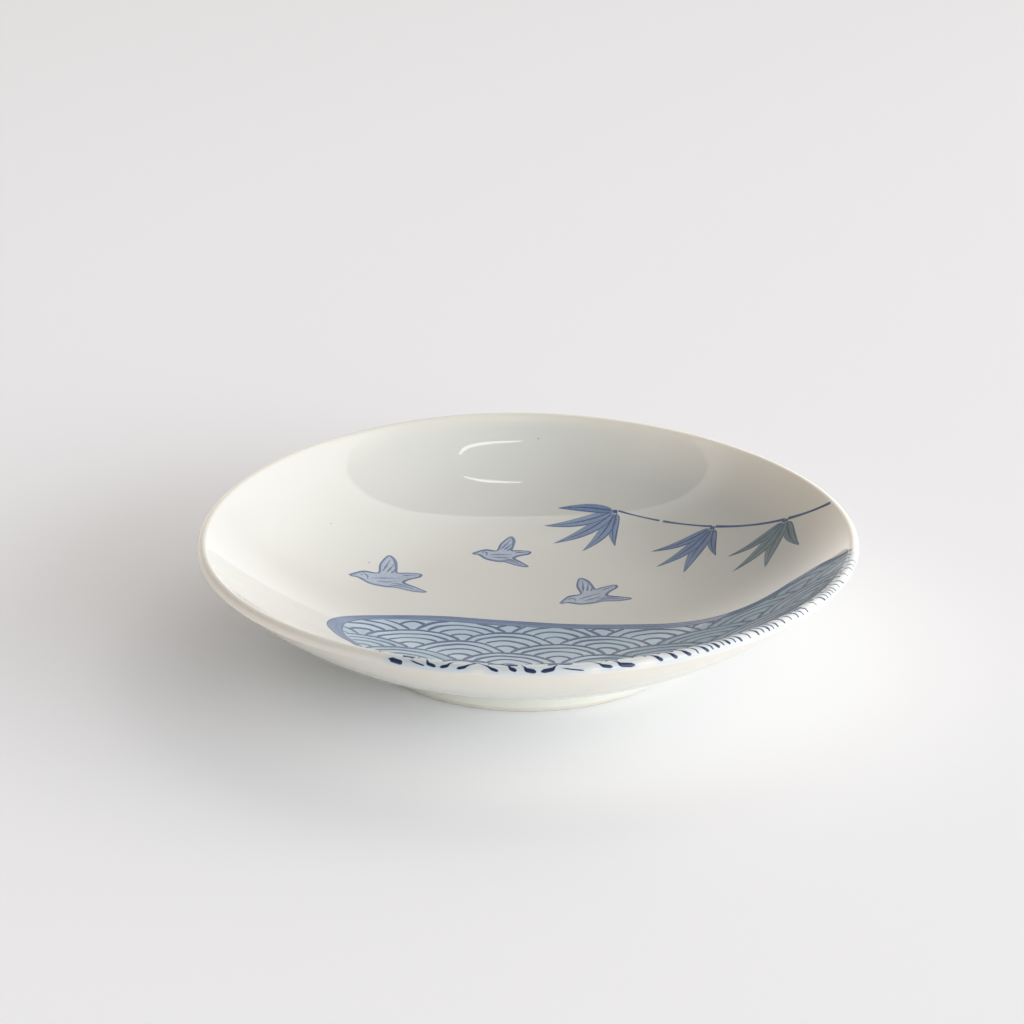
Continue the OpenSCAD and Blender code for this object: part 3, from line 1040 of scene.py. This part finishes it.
def hand_drawn(points):
    u, v = points[:, 0], points[:, 1]
    x = u + first_column_x
    y = (v + rows_above * row_step - fan_r) * fan_flatness + np.interp(x, row_curve[:, 0], row_curve[:, 1])
    x = x + wobble(x, y, 0.35 * mm, 17 * mm) + wobble(x, y, 0.08 * mm, 4.1 * mm, 2.0)
    y = y + wobble(x, y, 0.30 * mm, 13 * mm, 1.0) + wobble(x, y, 0.07 * mm, 3.3 * mm, 3.0)
    return np.stack([x, y], -1)


drawn = hand_drawn(get_points(fans))
line_stop_r = lip_c[0] + 0.1 * mm
line_half = 0.32 * mm
line_steps = 4
on_water = inside_polygon(drawn, water) & (np.hypot(*drawn.T) < line_stop_r)
links = [e for e in (tuple(edge.vertices) for edge in fans.edges) if on_water[e[0]] and on_water[e[1]]]


# %% Arcs as strokes
def chains_of(edges):
    """Sorts loose edges into chains of point numbers, each in order."""
    beside = {}
    for a, b in edges:
        beside.setdefault(a, []).append(b)
        beside.setdefault(b, []).append(a)
    seen, chains = set(), []
    for start in sorted(beside, key=lambda p: (len(beside[p]), p)):
        if start in seen:
            continue
        chain, at = [], start
        while at is not None:
            seen.add(at)
            chain.append(at)
            at = next((p for p in beside[at] if p not in seen), None)
        chains.append(chain)
    return [c for c in chains if len(c) > 3]


wave_strokes = []
for chain in chains_of(links):
    path = drawn[chain]
    if np.hypot(*path.T).max() > lip_rows_from:
        path = finer(path, line_steps)
    x, y = path.T
    at = np.linspace(0, len(chain) - 1, len(path))
    taper = np.minimum(1, 0.45 + 0.3 * np.minimum(at, at[::-1]))
    thickness = 1 + wobble(x, y, 0.32, 9 * mm, 5.0)
    paint = 1.3 + wobble(x, y, 0.25, 21 * mm, 7.0) + 0.5 * np.clip(x / dish_r - 0.35, 0, 0.5)
    wave_strokes.append((path, line_half * thickness * taper, paint))
bpy.data.meshes.remove(fans)
print(len(wave_strokes), "arcs show")

# %% [markdown]
# The paint is built up as on the real dish: the wash first, then the band, then the lines. Each layer
# stands a hundredth of a millimetre or so over the one before, so that no two surfaces lie in one place.

# %% Wash, band and lines
wash_height = 0.008 * mm
band_height = 0.014 * mm
line_height = 0.024 * mm
wide_grid, fine_grid = 0.8 * mm, 0.5 * mm
edge_steps = 6
fade_start_r, fade_end_r = lip_c[0] - 1.2 * mm, lip_c[0] + 0.35 * mm


def fade_to_rim(points):
    r = np.hypot(points[:, 0], points[:, 1])
    return 1 - np.clip((r - fade_start_r) / (fade_end_r - fade_start_r), 0, 1)


def cut_at(polygon, radius):
    """The polygon with everything outside a circle pulled back to it, and the circle's arc filled in."""
    inside = np.hypot(*polygon.T) < radius
    kept = polygon[inside]
    ends = np.arctan2(kept[[-1, 0], 1], kept[[-1, 0], 0])
    turn = np.linspace(ends[0], ends[1] if ends[1] < ends[0] else ends[1] - 2 * math.pi, 90)
    return np.concatenate([kept, radius * np.stack([np.cos(turn), np.sin(turn)], -1)])


band_overlap = 0.3 * mm
field_outline = cut_at(finer(shore_inner - to_water * band_overlap, edge_steps), fade_end_r)
washed("field_wash", [field_outline], wash_height, wide_grid, wash_field_finish,
       ["wave_wash"], fade=fade_to_rim, end_r=fade_end_r)
band_end_r = lip_c[0] + 0.3 * mm
on_dish = np.hypot(*shore_edge.T) < band_end_r
band_sides = (shore_edge[on_dish], shore_inner[on_dish][::-1])
band_outline = np.concatenate([finer(side, edge_steps) for side in band_sides])
washed("shore_band", [band_outline], band_height, fine_grid, band_finish, ["wave_band"],
       end_r=band_end_r)
brushed("wave_lines", wave_strokes, line_height, wave_finish)

# %% [markdown]
# At the shore the brush was split, and it left streaks of darker paint along the band. The list gives how
# far across the band each streak lies, where it starts and ends as shares of the shore, and its half
# width in mm.

# %% Streaks along the shore
streaks = ((0.03, 0, 1, 0.19), (0.97, 0.02, 0.99, 0.22), (0.35, 0.3, 0.62, 0.12), (0.6, 0.1, 0.45, 0.12),
           (0.5, 0.55, 0.93, 0.11))
shore_strokes = []
for across, start, stop, half in streaks:
    line = (shore_edge + to_water * shore[:, 2:] * across)[on_dish]
    line = finer(line[int(start * len(line)):int(stop * len(line))], line_steps)
    x, y = line.T
    widths = swell(len(line), 0.4, 1, 0.5) * half * mm * (1 + wobble(x, y, 0.4, 11 * mm, across * 9))
    shore_strokes.append((line, widths, 0.72 + wobble(x, y, 0.35, 15 * mm, across * 5)))
brushed("shore_lines", shore_strokes, line_height, shore_finish)

# %% [markdown]
# Where the wave lines run over the lip, the paint gathers before it dries. Each mark starts thin inside
# the dish, bends over the lip and ends in a dark drop on the outer side. The list gives where
# a drop sits, in degrees round the rim from the right-hand side, its length in degrees, its half
# width in mm, and how far off its tail starts: to the left, or to the right where the number is negative.

# %% Strokes on the lip
lip_marks = (
    (248.7, 2.4, 0.40, 0), (252.3, 2.4, 0.13, 0), (254.7, 1.3, 0.27, 0.5), (256.6, 1.1, 0.26, -1.0),
    (259.3, 1.2, 0.24, -2.0), (264.6, 1.1, 0.24, 2.0), (267.5, 0.9, 0.30, 1.0), (270.2, 1.5, 0.36, 0.8),
    (272.6, 1.8, 0.33, -1.0), (276.6, 3.4, 0.11, 0), (282, 1.5, 0.28, 1.6), (285.2, 2.2, 0.36, 1.2),
    (290.5, 1.1, 0.29, 1.6), (293, 1, 0.29, 1.3), (295.3, 1.2, 0.28, 1.3), (298.6, 1, 0.25, 1.5),
    (300.7, 0.9, 0.26, 1.2), (302.8, 0.8, 0.24, 1.2), (305.2, 0.7, 0.21, 1.3), (308.8, 0.6, 0.20, 1.5),
    (311.2, 0.6, 0.21, 1.2), (313.2, 0.5, 0.18, 1.1), (314.9, 0.5, 0.18, 1.0), (318.4, 0.4, 0.16, 1.4),
    (321.1, 0.4, 0.16, 1.3), (326.6, 0.9, 0.20, 1.3), (329, 0.5, 0.17, 1.1), (331, 0.5, 0.17, 1.1),
    (334.6, 0.9, 0.18, 1.3), (340.5, 0.4, 0.15, 1.4), (344, 0.4, 0.14, 1.3),
)
drop_place, drop_drift = 0.86 * mm, 0.1 * mm
tail_start, tail_half = -0.35 * mm, 0.1 * mm
thick_share = 0.86
hook_from, line_below = 288, 0.15
hook_shape, line_shape, drop_shape = (0.8, 0.36, 0.5, 1.35), (1, 0.26, 0.8, 1.2), (1, 0.16, 0.8, 1.2)
tail_bends = ((0.55, 0.62), (0.2, 0.3))
thin_hook = (0.5, 0.13, 1.3)
thin_hooks_from, thin_hook_gap = 295, 1.7


# %% From the list to strokes
def mark_shape(azimuth, thick):
    """A mark's share of its length, its fall in mm, the share of that at its end, its tail's stretch."""
    if azimuth > hook_from:
        return hook_shape
    return line_shape if thick < line_below else drop_shape


def lip_stroke(azimuth, width, thick, tail):
    """One mark on the strip over the lip: a thin tail from inside and a drop lying on the outer side."""
    length_share, fall_mm, end_share, stretch = mark_shape(azimuth, thick)
    middle = math.radians(azimuth) * dish_r
    half = math.radians(width) * dish_r / 2 * length_share * (-1 if tail < 0 else 1)
    fall = fall_mm * mm
    drop = drop_place + drop_drift * wobble(middle, 0, 1, 5.3 * mm)
    body = [(middle - half, drop - fall), (middle, drop), (middle + half, drop + fall * end_share)]
    if tail:
        reach = tail * mm * stretch
        bends = [(middle - half - reach * share, drop - fall - back * mm) for share, back in tail_bends]
        body = [(middle - half - reach, tail_start), *bends, *body]
    path = smooth_path(body, 7)
    s = np.linspace(0, 1, len(path))
    drop_start = 0.45 if tail else 0.0
    swelling = np.clip((s - drop_start + 0.2) / 0.4, 0, 1) ** 1.2
    widths = tail_half + (thick * thick_share * mm - tail_half) * swelling
    widths *= np.clip((1.0 - s) / 0.1, 0.3, 1) ** 0.6 * np.clip(s / 0.2, 0.35, 1)
    paint = 0.3 + 1.05 * np.clip((s - drop_start + 0.3) / 0.35, 0, 1)
    return path, widths, paint


neighbours = [(a[0], b[0]) for a, b in zip(lip_marks, lip_marks[1:]) if a[0] > thin_hooks_from]
thin_hooks = [((a + b) / 2, *thin_hook) for a, b in neighbours if b - a > thin_hook_gap]
lip_strokes = [lip_stroke(*mark) for mark in (*lip_marks, *thin_hooks)]
brushed("lip_marks", lip_strokes, line_height, lip_finish, laid_over_lip, ["lip_strokes"])

# %% [markdown]
# Cobalt spreads a little into the thick glaze round each drop. That soft blue halo isn't a piece of
# its own. It is a number on each point of the glaze, which the glaze's finish turns into colour. The
# whole front of the lip gets a paler blue in the same way.

# %% Halo round the strokes
halo_length = 0.9 * mm
halo_height = 0.6 * mm
halo_place = drop_place + 0.15 * mm
lip_wash = 0.7
washed_from, washed_to = 247, 352


def halo(points):
    """How blue the glaze is at each of its points, from 0 to 1."""
    x, y, z = points.T
    azimuth = np.degrees(np.arctan2(y, x)) % 360
    r = np.hypot(x, y)
    lift = warped(np.stack([x, y, 0 * z], -1))[:, 2]
    from_top = lip_r * (math.pi / 2 - np.arctan2(z - lift - lip_c[1], r - lip_c[0]))
    washed_lip = np.clip((azimuth - washed_from) / 4, 0, 1) * np.clip((washed_to - azimuth) / 6, 0, 1)
    blue = lip_wash * washed_lip * np.exp(-((from_top / mm) ** 2))
    for mark in lip_marks:
        middle, width = mark[:2]
        along = np.maximum(np.abs(azimuth - middle) - width / 2, 0) * math.radians(1) * dish_r
        blue += np.exp(-((along / halo_length) ** 2) - ((from_top - halo_place) / halo_height) ** 2)
    return np.where(r > lip_inside[0], np.clip(blue, 0, 1), 0)


set_floats(inside_glaze.data, "bloom", halo(get_points(inside_glaze.data)))
print("halo on", int((mesh_floats(inside_glaze.data, "bloom") > 0.1).sum()), "points")

# %% [markdown]
# ## Plovers and bamboo
# Three plovers fly over the waves. Each is drawn as a painter does it: a pale wash for the body, an
# outline with a loaded brush, a few strokes for the feathers and a dot for the eye. A bird's place is
# x and y as shares of the dish's radius, its turn in degrees and its size.

# %% Plovers
plover_l = 11 * mm
plover_places = ((-0.44, 0.17, 18, 1), (-0.08, 0.38, 4, 0.8), (0.20, 0.08, 32, 0.9))
bird_shares = (
    (-0.50, 0.07), (-0.37, 0.16), (-0.25, 0.20), (-0.13, 0.17), (-0.05, 0.20), (0.03, 0.42), (0.20, 0.62),
    (0.25, 0.50), (0.22, 0.32), (0.19, 0.17), (0.36, 0.15), (0.50, 0.10), (0.46, 0.02), (0.30, -0.03),
    (0.20, -0.12), (0.33, -0.29), (0.42, -0.44), (0.24, -0.38), (0.05, -0.24), (-0.10, -0.20), (-0.27, -0.12),
    (-0.36, 0), (-0.41, 0.045),
)
feather_shares = (
    ((0.00, 0.22), (0.09, 0.36), (0.19, 0.52)), ((0.05, 0.19), (0.12, 0.28), (0.21, 0.40)),
    ((0.10, 0.16), (0.14, 0.20), (0.19, 0.27)), ((-0.02, -0.17), (0.14, -0.22), (0.33, -0.38)),
    ((0.03, -0.12), (0.15, -0.17), (0.27, -0.29)), ((0.24, 0.08), (0.34, 0.09), (0.45, 0.08)),
    ((-0.20, 0.03), (-0.02, 0.03), (0.18, 0.02)), ((-0.16, -0.06), (0.0, -0.08), (0.12, -0.07)),
    ((-0.30, 0.15), (-0.25, 0.09), (-0.27, 0.0)),
)
eye_share = (-0.335, 0.105)


def flown(shares, place):
    """Points of the bird, turned, sized and carried to one place in the flight."""
    x, y, turn, size = place
    c, s = math.cos(math.radians(turn)), math.sin(math.radians(turn))
    p = np.asarray(shares, float) * plover_l * size
    return np.stack([p[:, 0] * c - p[:, 1] * s + x * dish_r, p[:, 0] * s + p[:, 1] * c + y * dish_r], -1)


def closed_path(points, steps):
    """A smooth closed curve through the points."""
    p = np.asarray(points, float)
    whole = smooth_path(np.concatenate([p[-3:], p, p[:3]]), steps)
    return whole[3 * steps:-2 * steps - 1]


# %% Paint the plovers
bird_bodies, bird_strokes = [], []
for place in plover_places:
    outline = closed_path(flown(bird_shares, place), 5)
    bird_bodies.append(outline[:-1])
    turn = np.arange(len(outline))
    widths = (0.22 + 0.05 * np.sin(turn * 0.21) + 0.03 * np.sin(turn * 0.53 + 2)) * mm
    bird_strokes.append((outline, widths, 0.85 + 0.15 * np.sin(turn * 0.13)))
    for feather in feather_shares:
        path = smooth_path(flown(feather, place), 6)
        bird_strokes.append((path, swell(len(path), 0.08, 0.2, 0.06, 0.35) * mm, 0.85))
    eye = flown([eye_share, np.add(eye_share, (0.02, 0.004))], place)
    bird_strokes.append((smooth_path(eye, 4), 0.2 * mm, 1.1))
washed("plover_wash", bird_bodies, band_height, fine_grid, feather_finish, ["plovers"])
brushed("plover_lines", bird_strokes, line_height, drawn_finish)

# %% [markdown]
# The bamboo hangs in from the right. Its stem is one stroke that stops at each joint, and each leaf is one
# press of a wet brush: wide at the start, drawn out to a point, with a darker vein on top. The list gives
# a leaf's place along the stem, its direction in degrees and its size.

# %% Bamboo
stem_shares = ((0.955, 0.20), (0.66, 0.36), (0.30, 0.60))
stem_w = 0.7 * mm
leaf_l = 11 * mm
leaf_w = 2.1 * mm
leaf_places = (
    (0.22, -162, 0.8), (0.22, -138, 1), (0.22, -112, 0.95), (0.22, -84, 0.75),
    (0.56, -166, 0.85), (0.56, -142, 1), (0.56, -117, 1), (0.56, -92, 0.65),
    (1, 168, 0.8), (1, -170, 1), (1, -146, 1.05), (1, -121, 0.95), (1, -94, 0.75),
)
leaf_power, leaf_round = 0.6, 0.9
joint_places = (0.0, 0.22, 0.56, 0.8, 1.0)


def stem_at(s):
    """A point of the stem: a curve that bends towards the middle of three points."""
    a, b, c = (np.array(p) * dish_r for p in stem_shares)
    s = np.asarray(s)[..., None]
    return a * (1 - s) ** 2 + 2 * b * s * (1 - s) + c * s**2


# %% Leaves
def leaf_half_width(s):
    return leaf_w / 2 * np.sin(math.pi * s**leaf_power) ** leaf_round


def leaf_points(root, turn, along, across):
    """Points at distances along and across a leaf that hangs from its root."""
    c, d = math.cos(math.radians(turn)), math.sin(math.radians(turn))
    return np.stack([root[0] + along * c - across * d, root[1] + along * d + across * c], -1)


leaf_steps = 26
leaf_bend, bend_turns_at = 0.5 * mm, -120
leaf_outlines, vein_strokes = [], []
for place, turn, size in leaf_places:
    s = np.linspace(0, 1, leaf_steps)
    bend = leaf_bend * np.sin(s * math.pi) * (1 if turn < bend_turns_at else -1)
    half = leaf_half_width(s) * size
    along = stem_w + s * leaf_l * size
    root = stem_at(place)
    upper, middle, lower = (leaf_points(root, turn, along, bend + side * half) for side in (1, 0, -1))
    leaf_outlines.append(np.concatenate([upper, lower[1:-1][::-1]]))
    vein, rim = middle[1:-3], upper[2:-1]
    vein_strokes.append((vein, swell(len(vein), 0.15, 0.18, 0.05, 0.3) * mm, 0.9))
    vein_strokes.append((rim, swell(len(rim), 0.08, 0.16, 0.08, 0.6) * mm, 0.8))
    vein_strokes.append((smooth_path(np.stack([root, middle[0]]), 4), 0.13 * mm, 0.8))
washed("leaf_wash", leaf_outlines, band_height, fine_grid, leaf_finish, ["bamboo_leaves"])
brushed("leaf_veins", vein_strokes, line_height, vein_finish)

# %% Stem
joint_gap = 0.008
stem_steps = 14
stem_strokes = []
for start, stop in zip(joint_places, joint_places[1:]):
    path = stem_at(np.linspace(start + joint_gap, stop - joint_gap, stem_steps))
    half = stem_w / 2 * (1 - (start + stop) / 4)
    widths = half * (1.05 - 0.3 * np.sin(np.linspace(0, math.pi, stem_steps)))
    stem_strokes.append((path, widths, 0.85))
brushed("stem_lines", stem_strokes, line_height, drawn_finish, nodes=["bamboo_stem"])

# %% [markdown]
# A few grains of iron in the clay burnt through the glaze as brown specks. The list gives where each
# one is and its half width, in mm.

# %% Iron specks
speck_places = ((-29.9, 19.4, 0.13), (-23.8, 12.2, 0.17), (2.1, 42.9, 0.14), (27.5, 12.4, 0.11),
                (23.5, 7.2, 0.12))
speck_grid = 0.08 * mm
specks = []
for x, y, size in speck_places:
    turn = np.linspace(0, 2 * math.pi, 12, endpoint=False)
    uneven = size * (1 + 0.25 * np.sin(2 * turn + x) + 0.15 * np.sin(3 * turn + y))
    specks.append(np.stack([x + uneven * np.cos(turn), y + uneven * np.sin(turn)], -1) * mm)
washed("iron_specks", specks, wash_height, speck_grid, speck_finish)

# %% [markdown]
# ## Light
# The dish stands on white paper. A low window at the right, a little in front, lights the left of the
# inside and throws a soft shadow to the left. Overhead the room is dark in one oval patch, which shows
# as the grey lens mirrored in the far wall. A round lamp hangs there: two arcs of it glint in the glaze.

# %% Table
reach = 3.0
table_corners = [(-reach, -reach, 0), (reach, -reach, 0), (reach, reach, 0), (-reach, reach, 0)]
table_mesh = bpy.data.meshes.new("table")
table_mesh.from_pydata(table_corners, [], [(0, 1, 2, 3)])
table = bpy.data.objects.new("table", table_mesh)
bpy.context.scene.collection.objects.link(table)
table_finish = Finish("table")
table_finish.set(Base_Color=(0.93, 0.94, 0.985, 1), Roughness=0.9, Specular_IOR_Level=0.1)
table_mesh.materials.append(table_finish.material)
print("the table is", 2 * reach, "m wide")

# %% [markdown]
# The room is a light that depends on the direction alone. Its numbers are strengths: of the dark patch and
# the bright ring round it, of the dim side and the bright side, of the horizon and of one part of the sky.

# %% Room
patch_reach = (0.66, 0.46)
patch_middle_y = 0.15
patch_light = 0.12
patch_edge = (0.985, 1.015)
ring_light = 1.25
ring_width = 0.35
dim_side, bright_side = 0.11, 1.0
dim_until, bright_from = -0.5, 0.7
side_direction = (0.9, 0.44, 0)
horizon_light, horizon_top = 1.15, 0.38
sky_light = 0.8
sky_direction = (0.35, 0.52, 0.777)
sky_from, sky_full = 0.85, 0.98
room_colour = (1, 0.945, 0.88, 1)


class Room:
    """The light of the room by direction, written a node at a time."""

    add = Tree.add
    math = Tree.math
    spread = Finish.spread

    def __init__(self):
        self.world = bpy.data.worlds.new("room")
        self.world.use_nodes = True
        self.tree = self.world.node_tree
        self.toward = self.add("ShaderNodeTexCoord", {})["Generated"]

    def along(self, direction):
        """How far each direction points the same way as this one: 1 where it is the same."""
        both = {0: self.toward, 1: direction}
        return self.add("ShaderNodeVectorMath", both, operation="DOT_PRODUCT")["Value"]


room = Room()
bpy.context.scene.world = room.world
x, y, z = room.add("ShaderNodeSeparateXYZ", {"Vector": room.toward}).values()
up = room.math("MAXIMUM", z, 0.001)
across = room.math("DIVIDE", room.math("DIVIDE", x, up), patch_reach[0])
away = room.math("DIVIDE", room.math("SUBTRACT", room.math("DIVIDE", y, up), patch_middle_y), patch_reach[1])
squares = room.math("ADD", room.math("MULTIPLY", across, across), room.math("MULTIPLY", away, away))
from_patch = room.math("SQRT", squares)
outside_patch = room.spread(from_patch, *patch_edge)
ring = room.spread(from_patch, 1, 1 + ring_width, 1.0, 0.0)
side = room.spread(room.along(side_direction), dim_until, bright_from, dim_side, bright_side)
horizon = room.spread(z, 0, horizon_top, horizon_light, 0.0)
sky = room.spread(room.along(sky_direction), sky_from, sky_full, 0.0, sky_light)
plain = room.math("ADD", side, room.math("ADD", horizon, sky))
around = room.math("ADD", plain, room.math("MULTIPLY", ring, room.math("SUBTRACT", ring_light, side)))
over_patch = room.math("MULTIPLY", outside_patch, room.math("SUBTRACT", around, patch_light))
background = room.tree.nodes["Background"]
room.tree.links.new(room.math("ADD", patch_light, over_patch), background.inputs["Strength"])
background.inputs["Color"].default_value = room_colour
print("the room's light has", len(room.tree.nodes), "nodes")

# %% [markdown]
# The window is three lamps in one place, each larger and no brighter, so that its mirror image in the glaze
# has a soft edge. A weaker window stands further round to the right.

# %% Windows
window_far = 2.4
window_azimuth, window_height = math.radians(-36), math.radians(15)
window_sizes = ((1.7, 0.55), (2.4, 0.85), (3.3, 1.15))
window_light = 9.3
window_colour = (0.95, 0.985, 1)
side_azimuth, side_height = math.radians(8), math.radians(20)
side_size = (1.6, 0.9)
side_power = 12
side_colour = (1, 0.985, 0.96)


def lamp(name, azimuth, height, size, power, colour):
    """A rectangle of light at a window's distance that faces the dish."""
    data = bpy.data.lights.new(name, "AREA")
    data.shape = "RECTANGLE"
    data.size, data.size_y = size
    data.energy = power
    data.color = colour
    light = bpy.data.objects.new(name, data)
    flat = window_far * math.cos(height)
    place = Vector((flat * math.cos(azimuth), flat * math.sin(azimuth), window_far * math.sin(height)))
    light.location = place
    light.rotation_euler = (-place).to_track_quat("-Z", "Y").to_euler()
    bpy.context.scene.collection.objects.link(light)
    print(name, size, "m,", round(power, 1), "W")


for size in window_sizes:
    lamp("window", window_azimuth, window_height, size, window_light * size[0] * size[1], window_colour)
lamp("side_window", side_azimuth, side_height, side_size, side_power, side_colour)

# %% Glints of the round lamp
lamp_height = 1.5
glint_half = 0.011 * lamp_height
glint_light = 7
glint_end = 0.25
glints = (((0.22, 0.02), (0.20, -0.045), (0.13, -0.09), (0.02, -0.11)),
          ((0.18, 0.20), (0.14, 0.225), (0.08, 0.236), (0.02, 0.24)))
glint_finish = Finish("lamp_arc")
glint_finish.set(Base_Color=(0, 0, 0, 1), Emission_Color=(1, 1, 1, 1), Emission_Strength=glint_light)
for i, glint in enumerate(glints):
    path = smooth_path(np.array(glint) * lamp_height, 6)
    along = np.gradient(path, axis=0)
    sideways = np.stack([-along[:, 1], along[:, 0]], -1) / np.linalg.norm(along, axis=1)[:, None]
    half = glint_half * np.sin(np.linspace(glint_end, math.pi - glint_end, len(path)))[:, None]
    corners = np.concatenate([path - sideways * half, path + sideways * half])
    corners = np.column_stack([corners, np.full(len(corners), lamp_height)])
    n = len(path)
    faces = [(k, k + 1, k + 1 + n, k + n) for k in range(n - 1)]
    glint_mesh = bpy.data.meshes.new(f"lamp_arc_{i}")
    glint_mesh.from_pydata([tuple(p) for p in corners], [], faces)
    glint_mesh.materials.append(glint_finish.material)
    arc_object = bpy.data.objects.new(f"lamp_arc_{i}", glint_mesh)
    bpy.context.scene.collection.objects.link(arc_object)
    print(arc_object.name, "has", len(faces), "faces")

# %% [markdown]
# A camera lifts the middle tones and lets the brightest ones run out gently, so the view gets a curve that
# does the same.

# %% Tones
view = bpy.context.scene.view_settings
view.view_transform = "Standard"
view.exposure = 0.06
view.use_curve_mapping = True
tones = view.curve_mapping
tones.white_level = (1.4, 1.4, 1.4)
curve = tones.curves[3].points
curve[-1].location = (1.0, 0.99)
curve.new(0.5, 0.7)
curve.new(0.715, 0.92)
tones.update()
print("the curve of the tones has", len(curve), "points")
